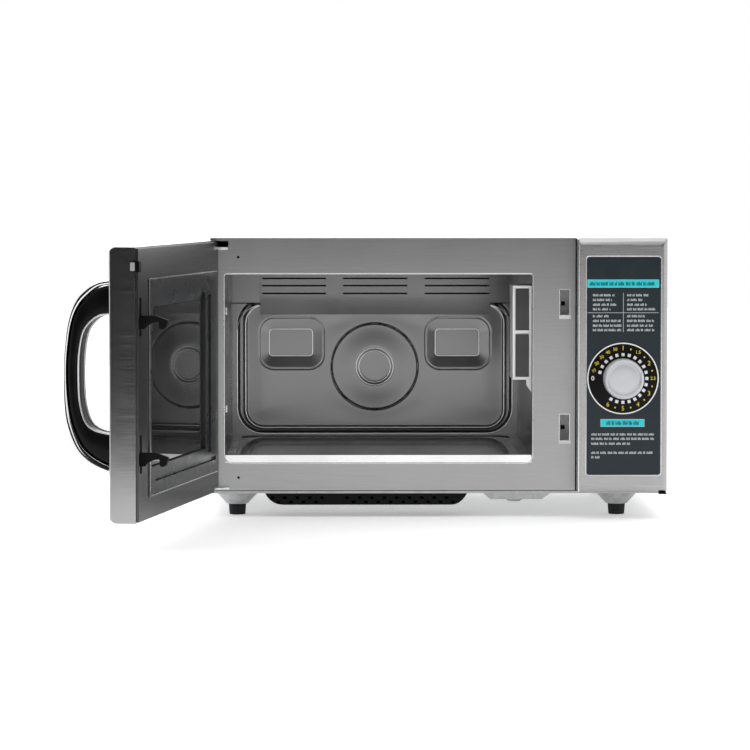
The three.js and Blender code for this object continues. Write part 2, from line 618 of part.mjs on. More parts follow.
function makeControls() {
  const back = SHEET;
  const top = CABINET_TOP + 0.3;
  // The bezel narrows towards its face in four slopes that make up a convex bevel.
  const bevel = BEZEL_BEVEL;
  const slopes = [[1, 0], [0.5, 0.16], [0.18, 0.5], [0.04, 0.8], [0, 1]];
  const block = (inset, end) => {
    const ring = (narrow) => {
      const x0 = BEZEL_LEFT + inset + bevel.left * narrow;
      const x1 = CABINET_RIGHT - inset - bevel.right * narrow;
      const z0 = BEZEL_BOTTOM + inset + bevel.bottom * narrow;
      const z1 = top - inset - bevel.top * narrow;
      return roundedRing(x0, x1, z0, z1, 2);
    };
    const at = (depth) => BEZEL_FRONT + inset + bevel.depth * depth;
    const layers = slopes.slice(1).map(([narrow, depth], i) => {
      const [before, start] = slopes[i];
      return loft(ring(before), ring(narrow), at(start), at(depth));
    });
    return join(...layers, loft(ring(0), ring(0), at(1), end));
  };
  let bezel = cut(block(0, back), block(BEZEL_WALL, back + 1));
  const { x0, x1, z0, z1, r, recess } = OVERLAY;
  const seat = roundedRect(x0 - GAP, x1 + GAP, z0 - GAP, z1 + GAP, r);
  bezel = cut(bezel, alongY(seat, BEZEL_FRONT - 1, BEZEL_FRONT + recess, 3));
  bezel = cut(bezel, discY(DIAL_X, DIAL_Z, 6, BEZEL_FRONT - 1, BEZEL_FRONT + 5, 20));
  piece(cabinet, "control_bezel", bezel, "brushed");

  const face = BEZEL_FRONT + 0.2;
  const film = alongY(roundedRect(x0, x1, z0, z1, r), face, BEZEL_FRONT + recess - GAP, 3);
  const hole = discY(DIAL_X, DIAL_Z, 5, BEZEL_FRONT - 4, BEZEL_FRONT + 4, 20);
  piece(cabinet, "control_overlay", cut(film, hole), "slate");

  const dialFront = face - GAP - 0.8;
  const plate = discY(DIAL_X, DIAL_Z, 40.7, dialFront, face - GAP, 48);
  piece(cabinet, "dial_plate", cut(plate, hole), "black");

  // The knob has a rounded edge and a dished front, and a bore that is open at the back.
  const knobBack = dialFront - 0.6;
  const knobFront = BEZEL_FRONT - 23;
  const profile = [
    [0, knobFront + 2.2],
    [8, knobFront + 1.9],
    [15, knobFront + 0.8],
    [18.6, knobFront],
    [21, knobFront + 0.9],
    [22.2, knobFront + 3],
    [22.8, knobBack],
    [3.2 + GAP, knobBack],
    [3.2 + GAP, knobFront + 8],
    [0, knobFront + 8],
  ];
  piece(cabinet, "timer_knob", turnedY(profile, DIAL_X, DIAL_Z, 40), "knob");

  const shaftBack = -16;
  const shaft = discY(DIAL_X, DIAL_Z, SHAFT_RADIUS, knobFront + 9, shaftBack, 16);
  piece(cabinet, "timer_shaft", shaft, "plated");

  // The timer's case behind the bezel, with a bore for the shaft.
  const caseFront = BEZEL_FRONT + BEZEL_WALL + GAP;
  let timer = box(DIAL_X - 29, DIAL_X + 29, caseFront, 4, DIAL_Z - 29, DIAL_Z + 29);
  timer = cut(timer, discY(DIAL_X, DIAL_Z, SHAFT_RADIUS + 0.1, caseFront - 1, shaftBack + 1, 16));
  piece(cabinet, "timer_module", timer, "black");

  // The control board: a circuit board with a relay, a transformer and a row of capacitors.
  let board = box(166, 246, caseFront + 6, caseFront + 7.6, 200, 296);
  board = join(board, box(172, 200, caseFront + 7, caseFront + 26, 206, 232));
  board = join(board, box(208, 236, caseFront + 7, caseFront + 22, 246, 264));
  for (let i = 0; i < 3; i++) {
    board = join(board, discY(178 + i * 14, 280, 5, caseFront + 7, caseFront + 18, 12));
  }
  piece(cabinet, "control_board", board, "board");
}

// ---- latch side ----
const SWITCH = { front: 33, back: 51 };

function makeLatchBracket() {
  const x0 = 122;
  const x1 = PLATE_RIGHT - SHEET - GAP;
  const y0 = SHEET + GAP;
  let bracket = box(x0, x1, y0, 56, 76, 267);
  for (const z of Object.values(SLOT_HEIGHTS)) {
    // The well that a hook goes into, and the pocket of the switch behind it.
    bracket = cut(bracket, slotHole(z, 0.6, y0 - 1, 31));
    bracket = cut(bracket, box(x0 + 6, x1 - 4, SWITCH.front - GAP, 60, z - 10.4, z + 10.4));
    bracket = cut(bracket, box(SLOT_X - 2.6, SLOT_X + 2.6, 30, 34, z - 2.6, z + 2.6));
    // The sloped ramp at the mouth of the well.
    const ramp = new THREE.Shape();
    const floor = z - SLOT_HALF_HEIGHT - 1;
    ramp.moveTo(y0, floor);
    ramp.lineTo(y0 + 14, floor);
    ramp.lineTo(y0 + 14, floor + 4);
    ramp.lineTo(y0 + 10, floor + 4);
    bracket = join(bracket, alongX(ramp, x0 + 1, x1 - 1));
  }
  bracket = cut(bracket, box(x0 + 4, x1 - 4, y0 + 8, 57, 128, 215));
  piece(cabinet, "latch_bracket", bracket, "white");
  for (const [where, z] of Object.entries(SLOT_HEIGHTS)) {
    const body = box(x0 + 6.4, x1 - 4.4, SWITCH.front, SWITCH.back, z - 10, z + 10);
    const bore = box(SLOT_X - 2.3, SLOT_X + 2.3, 32, SWITCH.front + 7, z - 2.3, z + 2.3);
    piece(cabinet, "door_switch_" + where, cut(body, bore), "white");
    const rod = box(SLOT_X - 2, SLOT_X + 2, 29.6, SWITCH.front + 4, z - 2, z + 2);
    piece(cabinet, "switch_plunger_" + where, rod, "black");
  }
}

// ---- power parts ----
function makePower() {
  // Magnetron: a yoke round a stack of cooling fins, its antenna up in the waveguide.
  const axis = { x: 190, y: 185 };
  const top = CAVITY_CEILING + 1 - 0.6;
  let tube = box(axis.x - 33, axis.x + 33, 143, 227, 206, top);
  for (let i = 0; i < 6; i++) {
    const z = 222 + i * 10;
    tube = cut(tube, box(axis.x - 31, axis.x - 17, 130, 240, z, z + 7.5));
    tube = cut(tube, box(axis.x + 17, axis.x + 31, 130, 240, z, z + 7.5));
  }
  tube = join(tube, box(axis.x - 28, axis.x + 28, 155, 215, 186, 206.5));
  tube = join(tube, discZ(axis.x, axis.y, 9, top - 1, top + 13, 16));
  piece(cabinet, "magnetron", tube, "plated");

  // Transformer: a laminated core on its foot plate, with two windings round its middle limb.
  const floor = BASE_Z + SHEET + GAP;
  const mid = { x: 180, y: 190 };
  let core = box(mid.x - 52, mid.x + 52, 155, 225, floor, floor + 88);
  core = cut(core, box(mid.x - 34, mid.x - 16, 150, 230, floor + 18, floor + 70));
  core = cut(core, box(mid.x + 16, mid.x + 34, 150, 230, floor + 18, floor + 70));
  core = join(core, box(mid.x - 60, mid.x + 60, 150, 230, floor, floor + 2.5));
  piece(cabinet, "transformer_core", core, "iron");
  const winding = (name, z0, z1) => {
    const inner = roundedRect(mid.x - 16.4, mid.x + 16.4, 154.4, 225.6, 1);
    const outer = roundedRect(mid.x - 33.6, mid.x + 33.6, 138, 242, 12);
    outer.holes.push(inner);
    piece(cabinet, name, alongZ(outer, z0, z1, 3), "copper");
  };
  winding("transformer_primary", floor + 18.4, floor + 43);
  winding("transformer_secondary", floor + 45, floor + 69.6);

  // Capacitor: an oval can lying behind the transformer, with its two terminals and the diode.
  const can = roundedRect(124, 176, floor, floor + 34, 16.9);
  let capacitor = alongY(can, 262, 350, 6);
  capacitor = join(capacitor, box(136, 142, 254, 263, floor + 13, floor + 21));
  capacitor = join(capacitor, box(158, 164, 254, 263, floor + 13, floor + 21));
  piece(cabinet, "hv_capacitor", capacitor, "plated");
  const diodeLead = box(184.5, 187.5, 279, 296, floor + 43, floor + 45);
  const diode = join(discY(186, floor + 44, 3.2, 262, 280, 10), diodeLead);
  piece(cabinet, "hv_diode", diode, "black");

  // Mains filter board at the back, and the thermal cut-out on the cavity's wall.
  let filter = box(116, 122, 330, 382, 232, 300);
  const choke = box(121, 146, 336, 360, 262, 290);
  const lineCapacitor = box(121, 138, 364, 378, 240, 256);
  filter = join(filter, choke, lineCapacitor);
  piece(cabinet, "noise_filter", filter, "board");
  const wall = CAVITY_RIGHT + 1 + GAP;
  const cutoutFlange = box(wall, wall + 2, 262, 292, 150, 166);
  const cutout = join(cutoutFlange, box(wall + 1, wall + 10, 270, 284, 151, 165));
  piece(cabinet, "thermal_cutout", cutout, "black");
}

const FAN = { x: 182, z: 200, radius: 50 };

function makeFan() {
  const y0 = 296;
  // The shroud: a square plate with a round collar, and three struts that hold the motor.
  let shroud = box(FAN.x - 58, FAN.x + 58, y0, y0 + 2, FAN.z - 58, FAN.z + 58);
  const collar = [[53, y0 - 0.5], [55, y0 - 0.5], [55, y0 + 26], [53, y0 + 26]];
  shroud = join(shroud, turnedY([...collar, collar[0]], FAN.x, FAN.z, 32));
  shroud = cut(shroud, discY(FAN.x, FAN.z, 53, y0 - 1, y0 + 3, 32));
  for (let i = 0; i < 3; i++) {
    const strut = new THREE.BoxGeometry(44, 3, 6);
    strut.translate(36, y0 + 27.5, 0);
    strut.rotateY((i * 2 * Math.PI) / 3);
    strut.translate(FAN.x, 0, FAN.z);
    shroud = join(shroud, solid(strut));
  }
  const hub = [[12, y0 + 26], [18, y0 + 26], [18, y0 + 29], [12, y0 + 29]];
  shroud = join(shroud, turnedY([...hub, hub[0]], FAN.x, FAN.z, 24));
  piece(cabinet, "fan_shroud", shroud, "plated");

  let blade = discY(FAN.x, FAN.z, 14, y0 + 4, y0 + 20, 20);
  for (let i = 0; i < 5; i++) {
    const vane = new THREE.BoxGeometry(38, 1.6, 26);
    vane.rotateX((32 * Math.PI) / 180);
    vane.translate(31, y0 + 12, 0);
    vane.rotateY((i * 2 * Math.PI) / 5);
    vane.translate(FAN.x, 0, FAN.z);
    blade = join(blade, solid(vane));
  }
  const reach = discY(FAN.x, FAN.z, FAN.radius, y0, y0 + 30, 40);
  blade = join(blade.intersect(reach), discY(FAN.x, FAN.z, 2, y0 + 19, y0 + 40, 12));
  piece(cabinet, "fan_blade", blade, "black");

  const motorFront = y0 + 29 + GAP;
  let motor = discY(FAN.x, FAN.z, 24, motorFront, motorFront + 16, 24);
  motor = join(motor, box(FAN.x - 30, FAN.x + 30, motorFront + 15, motorFront + 36, 170, 196));
  motor = cut(motor, discY(FAN.x, FAN.z, 2.2, motorFront - 1, y0 + 42, 12));
  piece(cabinet, "fan_motor", motor, "iron");
}

// ---- hinges ----
function makeHinges() {
  const { left, right, front, thick } = HINGE_ARM;
  for (const [where, z] of Object.entries(HINGE_Z)) {
    const arm = new THREE.Shape();
    arm.moveTo(left + 3.2, SHEET + GAP);
    arm.lineTo(left + 3.2, -0.5);
    arm.absarc(HINGE_X, HINGE_Y, 5.5, Math.PI, 1.5 * Math.PI);
    arm.lineTo(right - 8, front);
    arm.lineTo(right, -4);
    arm.lineTo(right, SHEET + GAP);
    let plate = alongZ(arm, z - thick / 2, z + thick / 2, 6);
    const foot = z > 100 ? -12 : 12;
    const z0 = Math.min(z, z + foot);
    const z1 = Math.max(z, z + foot);
    plate = join(plate, box(left + 3.2, right, SHEET + GAP, SHEET + GAP + thick, z0, z1));
    plate = cut(plate, discZ(HINGE_X, HINGE_Y, PIN_RADIUS + 0.1, z - 3, z + 3, 24));
    piece(cabinet, "hinge_" + where, plate, "brushed");
  }
}

// ---- door ----
const WINDOW = { x0: 62, x1: 336, z0: 78, z1: 268 }; // the glazed part
// The raised panel that covers the opening, and the pane in it.
const CHOKE = { x0: 9, x1: 361, z0: 53, z1: 281.5, pane: { x0: 85, x1: 344, z0: 84, z1: 250.5 } };

// Room for a hinge arm, in the door's frame.
function hingeNotch(where) {
  const z = HINGE_Z[where];
  const low = where === "lower" ? 20 : z - 2.6;
  return box(DOOR_END - 1, 19, -9, DOOR_INNER + 1, low, z + 2.6);
}

// Holes for the two hinge pins, from the lower and the upper end of the door.
function pinBores() {
  const radius = PIN_RADIUS + 0.2;
  return [discZ(0, 0, radius, 20, 46, 24), discZ(0, 0, radius, 294, 312.6, 24)];
}

function makeDoorPanels() {
  let frame = pillowShell(
    DOOR_END, DOOR_FREE, DOOR_Z[0], DOOR_Z[1], DOOR_OUTER, DOOR_SEAM, 8, 2, DOOR_SHEET,
  );
  const { x0, x1, z0, z1 } = WINDOW;
  frame = cut(frame, alongY(roundedRect(x0, x1, z0, z1, 12), DOOR_OUTER - 1, DOOR_OUTER + 3, 4));
  // Blocks inside the hinge end hold the pins.
  const block = (low, high) => box(DOOR_END + 1, 12, -9, DOOR_SEAM, low, high);
  frame = join(frame, block(DOOR_Z[0] + 1, 48), block(292, DOOR_Z[1] - 1));
  frame = cut(frame, hingeNotch("upper"), hingeNotch("lower"));
  frame = cut(frame, ...pinBores());
  piece(door, "door_frame", frame, "brushed");

  const glassY = DOOR_OUTER + DOOR_SHEET + GAP;
  const glass = box(x0 - 8, x1 + 8, glassY, glassY + 4, z0 - 8, z1 + 8);
  piece(door, "door_front_glass", glass, "glass");

  // The screen is a tray whose rim reaches forward to the glass.
  let screen = box(x0 - 12, x1 + 12, glassY + 4 + GAP, -7, z0 - 12, z1 + 12);
  screen = cut(screen, box(x0 - 11, x1 + 11, glassY, -8, z0 - 11, z1 + 11));
  piece(door, "door_screen", screen, "iron");
}

const PAN_EDGE = 1.6; // how far the inner pan stands back from the outer shell's edge
const CHOKE_RAISE = 1.2;

function makeDoorInner() {
  // The inner pan closes the back of the shell; the choke panel sits in an opening of it.
  const y0 = DOOR_SEAM + GAP;
  const left = DOOR_END + PAN_EDGE;
  const right = DOOR_FREE - PAN_EDGE;
  let pan = box(left, right, y0, DOOR_INNER, DOOR_Z[0] + PAN_EDGE, DOOR_Z[1] - PAN_EDGE);
  const { x0, x1, z0, z1 } = CHOKE;
  pan = cut(pan, alongY(roundedRect(x0, x1, z0, z1, 2), y0 - 1, DOOR_INNER + 1, 2));
  pan = cut(pan, hingeNotch("upper"), hingeNotch("lower"));
  pan = cut(pan, ...pinBores());
  for (const z of Object.values(SLOT_HEIGHTS)) {
    pan = cut(pan, box(LATCH_X - 5, LATCH_X + 5, y0 - 1, DOOR_INNER + 1, z - 20, z + 20));
  }
  // A post behind the pan that the latch's spring pushes against.
  pan = join(pan, box(LATCH_X - 5, LATCH_X + 5, -15.5, y0 + 0.5, 276, 282));
  piece(door, "door_inner_pan", pan, "brushed");

  // The choke cover: a dark frame, raised a little, with a groove strip under the window.
  const g = GAP;
  const face = DOOR_INNER + CHOKE_RAISE;
  const coverBack = face - 8;
  let cover = alongY(roundedRect(x0 + g, x1 - g, z0 + g, z1 - g, 2), coverBack, face, 2);
  const { pane } = CHOKE;
  cover = cut(cover, box(pane.x0, pane.x1, coverBack - 1, face + 1, pane.z0, pane.z1));
  // Above the pane the cover slopes in to the glass.
  const slope = new THREE.Shape();
  slope.moveTo(face + 1, pane.z1 - 1);
  slope.lineTo(face + 1, pane.z1 + 17);
  slope.lineTo(face - 3.4, pane.z1);
  slope.lineTo(face - 3.4, pane.z1 - 1);
  cover = cut(cover, alongX(slope, pane.x0, pane.x1));
  // A groove under the pane, one beside it at the free end and two at the hinge end.
  cover = cut(cover, box(16, 334, face - 3, face + 1, 68, 72.5));
  cover = cut(cover, box(pane.x1 - 0.5, pane.x1 + 7, face - 4, face + 1, pane.z0, 226));
  cover = cut(cover, box(72, pane.x0 + 0.5, face - 6, face + 1, pane.z0, pane.z1 + 8));
  cover = cut(cover, box(43, 58, face - 6, face + 1, 79, 255));
  piece(door, "choke_cover", cover, "black");
  const glass = box(pane.x0 + g, pane.x1 - g, face - 7.5, face - 3.5, pane.z0 + g, pane.z1 - g);
  piece(door, "door_inner_glass", glass, "glass");
}

// The latch: two hooks on one bar behind the inner pan. It slides up and springs back down.
function makeLatch() {
  const bar = { front: -16, back: -4 };
  const half = 3;
  let latch = box(LATCH_X - half, LATCH_X + half, bar.front, bar.back, 84, 248);
  const hooks = { upper: 230, lower: 88.3 };
  for (const low of Object.values(hooks)) {
    const hook = new THREE.Shape();
    hook.moveTo(bar.back - 2, low);
    hook.lineTo(DOOR_INNER + 5, low);
    hook.quadraticCurveTo(DOOR_INNER + 9, low + 7, DOOR_INNER + 20, low + 7.4);
    hook.lineTo(DOOR_INNER + 20, low + 0.5);
    hook.lineTo(DOOR_INNER + 24, low - 0.6);
    hook.lineTo(DOOR_INNER + 27.5, low + 1.5);
    hook.lineTo(DOOR_INNER + 29.5, low + 9.5);
    hook.lineTo(DOOR_INNER + 16, low + 14.2);
    hook.lineTo(bar.back - 2, low + 14.2);
    latch = join(latch, alongX(hook, LATCH_X - half, LATCH_X + half, 4));
  }
  piece(door, "latch_bar", latch, "black");

  // A helical spring above the bar.
  const turns = 5;
  const coilRadius = 3.2;
  const start = 248.6;
  const length = 26;
  const helix = new THREE.CatmullRomCurve3(
    Array.from({ length: turns * 8 + 1 }, (_, i) => {
      const angle = (i / 8) * 2 * Math.PI;
      const x = LATCH_X + coilRadius * Math.cos(angle);
      const y = -10 + coilRadius * Math.sin(angle);
      return new THREE.Vector3(x, y, start + (i / (turns * 8)) * length);
    }),
  );
  const wire = new THREE.Shape();
  wire.absarc(0, 0, 0.5, 0, 2 * Math.PI);
  const coil = new THREE.ExtrudeGeometry(wire, {
    steps: turns * 10,
    curveSegments: 3,
    extrudePath: helix,
    bevelEnabled: false,
  });
  piece(door, "latch_spring", solid(coil), "plated");
}

// The bow handle: a black grip with a bright strap round its outside.
const HANDLE_X = [366, 398];

// Points of a curve in the door's y and z, given as [distance from the outer face, height].
function handleCurve(points) {
  const y = DOOR_OUTER;
  const curve = new THREE.SplineCurve(points.map(([d, z]) => new THREE.Vector2(y - d, z)));
  return curve.getPoints(18);
}

function ribbon(outer, inner) {
  const shape = new THREE.Shape([...handleCurve(outer), ...handleCurve(inner).reverse()]);
  return alongX(shape, HANDLE_X[0], HANDLE_X[1]);
}

function makeHandle() {
  const seat = GAP;
  const gripOuter = [
    [seat, 275], [12.6, 273], [22.8, 266], [34, 254], [42, 235], [46.4, 205], [47.4, 178],
    [45, 148], [40, 128], [31, 109], [18, 97], [seat, 88],
  ];
  const gripInner = [
    [seat, 245.5], [11.8, 244], [22, 238], [30.5, 226], [34.6, 204], [35.3, 180], [34, 154],
    [28.4, 134], [18.4, 124.9], [seat, 120.5],
  ];
  const strapInner = gripOuter.map(([d, z]) => {
    const out = z > 178 ? 1 : -1;
    return d === seat ? [d, z + out * 0.6] : [d + 0.5, z + out * 0.3];
  });
  const strapOuter = [
    [seat, 281], [14, 279], [25.5, 272.5], [38, 259.5], [46.2, 238], [50.6, 206], [51.6, 178],
    [51.4, 146], [47.5, 122], [38, 98], [22, 84], [seat, 76],
  ];
  piece(door, "handle_grip", ribbon(gripOuter, gripInner), "black");
  piece(door, "handle_strap", ribbon(strapOuter, strapInner), "polished");
}

function makeDoorTrim() {
  // The small clip that wraps the free edge near the top.
  const z0 = 289;
  const z1 = 300;
  const edge = DOOR_FREE + GAP;
  const edgeSheet = 0.7; // thin, so that the clip clears the bezel when the door is shut
  const inner = DOOR_INNER + GAP;
  const innerSheet = 1.2;
  let clip = box(edge, edge + edgeSheet, -4, inner + innerSheet, z0, z1);
  clip = join(clip, box(DOOR_FREE - 9, edge + edgeSheet, inner, inner + innerSheet, z0, z1));
  piece(door, "door_edge_clip", clip, "black");
  const reach = { upper: [297, 311.6], lower: [30.2, 44] };
  for (const [where, [low, high]] of Object.entries(reach)) {
    piece(door, "hinge_pin_" + where, discZ(0, 0, PIN_RADIUS, low, high, 24), "plated");
  }
}

makeBase();
makeFeet();
makeIntake();
makeFrontPlate();
makeCavity();
makeBackWall();
makeVentCover();
makeShelf();
makeStirrer();
makeWaveguide();
makeLamp();
makeWrap();
makeRear();
makeControls();
makeLatchBracket();
makePower();
makeFan();
makeHinges();
makeDoorPanels();
makeDoorInner();
makeLatch();
makeHandle();
makeDoorTrim();

// The origin is the middle of the base of the box round the whole oven, door open.
oven.updateMatrixWorld(true);
const bounds = new THREE.Box3().setFromObject(oven, true);
oven.position.set(
  -(bounds.min.x + bounds.max.x) / 2,
  -(bounds.min.y + bounds.max.y) / 2,
  -bounds.min.z,
);

const root = new THREE.Group();
root.add(oven);

export default root;
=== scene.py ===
"""Counter-top microwave oven with its door open: materials, fine pieces, light and camera.

Lengths are metres in the row frame. CAB() and DOOR() turn millimetres of the cabinet's own frame
and of the door's own frame into the row frame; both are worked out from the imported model.
"""
import json
import math

import bmesh
import bpy
from mathutils import Matrix, Vector


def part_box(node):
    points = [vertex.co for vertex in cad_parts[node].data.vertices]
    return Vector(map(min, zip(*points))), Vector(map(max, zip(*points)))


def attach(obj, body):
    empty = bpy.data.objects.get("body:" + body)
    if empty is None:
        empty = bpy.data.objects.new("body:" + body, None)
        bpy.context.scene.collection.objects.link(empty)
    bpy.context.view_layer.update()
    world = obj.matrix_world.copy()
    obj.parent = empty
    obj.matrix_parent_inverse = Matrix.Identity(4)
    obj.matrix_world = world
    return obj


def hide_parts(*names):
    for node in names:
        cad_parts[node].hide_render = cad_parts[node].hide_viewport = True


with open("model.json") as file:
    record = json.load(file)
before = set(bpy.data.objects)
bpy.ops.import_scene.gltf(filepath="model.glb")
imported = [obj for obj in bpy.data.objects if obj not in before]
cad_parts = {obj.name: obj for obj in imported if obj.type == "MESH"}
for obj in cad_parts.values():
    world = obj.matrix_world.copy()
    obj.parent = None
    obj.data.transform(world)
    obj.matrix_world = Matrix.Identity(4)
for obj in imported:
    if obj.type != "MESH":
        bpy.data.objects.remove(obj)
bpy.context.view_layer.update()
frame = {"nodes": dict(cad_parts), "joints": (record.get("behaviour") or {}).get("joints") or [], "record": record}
nodes = frame["nodes"]
joints = {joint["name"]: joint for joint in frame["joints"]}

MM = 0.001
HALF_WIDTH = 260.0

plate_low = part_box("cavity_front_plate")[0]
ORIGIN = Vector((plate_low.x + HALF_WIDTH * MM, plate_low.y, 0.0))
PIVOT = Vector(joints["door_hinge"]["pos_m"])
OPEN = math.radians(joints["door_hinge"]["range_deg"][1])
DOOR_TURN = Matrix.Rotation(-OPEN, 4, "Z")


def CAB(x, y, z):
    """A point of the cabinet: x from its centre line, y from the front plate, z from the floor."""
    return ORIGIN + Vector((x, y, z)) * MM


def DOOR(u, v, z):
    """A point of the door: u from the pivot to the free edge, v from outer to inner face."""
    flat = DOOR_TURN @ (Vector((u, v, 0.0)) * MM)
    return Vector((PIVOT.x + flat.x, PIVOT.y + flat.y, z * MM))


# ---------------------------------------------------------------- materials

class Paint:
    """A node material being built, with short names for the nodes that are used often."""

    def __init__(self, name, turn=0.0):
        self.material = bpy.data.materials.new(name)
        self.material.use_nodes = True
        self.tree = self.material.node_tree
        self.shader = self.tree.nodes["Principled BSDF"]
        coords = self.node("TexCoord")
        spin = self.node("Mapping", Rotation=(0.0, 0.0, turn))
        self.link(coords.outputs["Object"], spin.inputs["Vector"])
        self.space = spin.outputs["Vector"]

    def node(self, kind, **values):
        made = self.tree.nodes.new("ShaderNode" + kind)
        self.fill(made, values)
        return made

    def fill(self, node, values):
        """Sets the inputs of a node; an underscore stands for the space in an input's name."""
        for name, value in values.items():
            node.inputs[name.replace("_", " ")].default_value = value

    def link(self, source, target):
        self.tree.links.new(source, target)

    def set(self, **values):
        self.fill(self.shader, values)

    def noise(self, scale, detail=3.0):
        """Noise at one scale, or at three scales along x, y and z."""
        scales = scale if isinstance(scale, tuple) else (scale, scale, scale)
        stretch = self.node("Mapping", Scale=scales)
        self.link(self.space, stretch.inputs["Vector"])
        node = self.node("TexNoise", Scale=1.0, Detail=detail, Roughness=0.55)
        self.link(stretch.outputs["Vector"], node.inputs["Vector"])
        return node.outputs["Fac"]

    def ramp(self, factor, *stops):
        node = self.node("ValToRGB")
        for element, (place, color) in zip(node.color_ramp.elements, stops):
            element.position = place
            element.color = (*color, 1.0)
        self.link(factor, node.inputs["Fac"])
        return node.outputs["Color"]

    def spread(self, factor, low, high, start=0.25, end=0.75):
        node = self.node("MapRange", From_Min=start, From_Max=end, To_Min=low, To_Max=high)
        self.link(factor, node.inputs["Value"])
        return node.outputs["Result"]

    def math(self, operation, a, b):
        node = self.node("Math")
        node.operation = operation
        for socket, value in zip(node.inputs, (a, b)):
            if isinstance(value, (int, float)):
                socket.default_value = value
            else:
                self.link(value, socket)
        return node.outputs["Value"]

    def blend(self, a, share_of_a, b):
        """Two values added in the given shares."""
        return self.math("ADD", self.math("MULTIPLY", a, share_of_a),
                         self.math("MULTIPLY", b, 1.0 - share_of_a))

    def bump(self, height, distance, strength, after=None):
        node = self.node("Bump", Strength=strength, Distance=distance)
        self.link(height, node.inputs["Height"])
        if after is not None:
            self.link(after, node.inputs["Normal"])
        return node.outputs["Normal"]

    def edge_wear(self, radius):
        """How far the surface turns within `radius`: bright on edges that get rubbed."""
        bevel = self.node("Bevel", Radius=radius)
        bevel.samples = 4
        dot = self.node("VectorMath")
        dot.operation = "DOT_PRODUCT"
        self.link(bevel.outputs["Normal"], dot.inputs[0])
        self.link(self.node("NewGeometry").outputs["Normal"], dot.inputs[1])
        return self.math("SUBTRACT", 1.0, dot.outputs["Value"])

    def where_level(self, level, upright):
        """One value on faces that look up or down, another on upright faces."""
        parts = self.node("SeparateXYZ")
        self.link(self.node("NewGeometry").outputs["Normal"], parts.inputs["Vector"])
        steep = self.math("GREATER_THAN", self.math("ABSOLUTE", parts.outputs["Z"], 0.0), 0.72)
        mix = self.node("Mix")
        self.link(steep, mix.inputs["Factor"])
        self.link(upright, mix.inputs["A"])
        self.link(level, mix.inputs["B"])
        return mix.outputs["Result"]

    def color(self, output):
        self.link(output, self.shader.inputs["Base Color"])

    def roughness(self, output):
        self.link(output, self.shader.inputs["Roughness"])

    def normal(self, output):
        self.link(output, self.shader.inputs["Normal"])


def gray(value, tint=(1.0, 1.0, 1.0)):
    return tuple(value * part for part in tint)


def brushed_steel(name, dark, light, rough=(0.28, 0.42), turn=0.0, tint=(1, 1, 1)):
    """Stainless steel brushed along the panel: long fine streaks in tone, roughness and relief."""
    paint = Paint(name, turn)
    along, across = 30.0, 1900.0
    upright = paint.noise((along, along, across), 4.0)
    flat = paint.noise((along, across, along), 4.0)
    grain = paint.where_level(flat, upright)
    cloud = paint.noise((9.0, 9.0, 14.0), 2.0)
    tone = paint.blend(grain, 0.75, cloud)
    paint.color(paint.ramp(tone, (0.36, gray(dark, tint)), (0.66, gray(light, tint))))
    paint.roughness(paint.spread(grain, rough[0], rough[1], 0.35, 0.68))
    paint.normal(paint.bump(grain, 0.00004, 0.22))
    paint.set(Metallic=1.0)
    return paint.material


def satin_steel(name, dark, light, rough=(0.18, 0.30), tint=(1, 1, 1)):
    """Smooth rolled sheet, as inside a cavity: faint clouds, wiping marks and a soft waviness."""
    paint = Paint(name)
    cloud = paint.noise(10.0, 2.0)
    wipe = paint.noise((60.0, 60.0, 900.0), 2.0)
    tone = paint.blend(cloud, 0.8, wipe)
    paint.color(paint.ramp(tone, (0.35, gray(dark, tint)), (0.65, gray(light, tint))))
    paint.roughness(paint.spread(tone, rough[0], rough[1], 0.35, 0.65))
    wave = paint.noise(7.0, 1.0)
    paint.normal(paint.bump(wave, 0.0004, 0.1, paint.bump(wipe, 0.000004, 0.06)))
    paint.set(Metallic=0.92)
    return paint.material


def zinc_sheet(name):
    """Zinc-coated sheet with its crystal spangle."""
    paint = Paint(name)
    cells = paint.node("TexVoronoi", Scale=130.0)
    paint.link(paint.space, cells.inputs["Vector"])
    tone = paint.node("SeparateColor")
    paint.link(cells.outputs["Color"], tone.inputs["Color"])
    spangle = tone.outputs["Red"]
    paint.color(paint.ramp(spangle, (0.0, gray(0.40)), (1.0, gray(0.56, (0.97, 0.99, 1.0)))))
    paint.roughness(paint.spread(spangle, 0.38, 0.58, 0.0, 1.0))
    paint.normal(paint.bump(paint.noise(400.0), 0.00004, 0.3))
    paint.set(Metallic=1.0)
    return paint.material


def plastic(name, base, worn, rough=(0.4, 0.55), grain=1500.0, relief=0.00005, gloss=0.5, metal=0.0):
    """Moulded plastic or rubber: fine mould grain, uneven sheen, edges rubbed lighter."""
    paint = Paint(name)
    speck = paint.noise(grain, 2.0)
    cloud = paint.noise(35.0, 3.0)
    body = paint.ramp(cloud, (0.3, base), (0.75, tuple(0.7 * a + 0.3 * b for a, b in zip(base, worn))))
    mix = paint.node("Mix")
    mix.data_type = "RGBA"
    paint.link(paint.spread(paint.edge_wear(0.0012), 0.0, 0.6, 0.05, 0.5), mix.inputs["Factor"])
    paint.link(body, mix.inputs["A"])
    mix.inputs["B"].default_value = (*worn, 1.0)
    paint.color(mix.outputs["Result"])
    paint.roughness(paint.spread(cloud, rough[0], rough[1]))
    paint.normal(paint.bump(speck, relief, 0.4))
    paint.set(Specular_IOR_Level=gloss, Metallic=metal)
    return paint.material


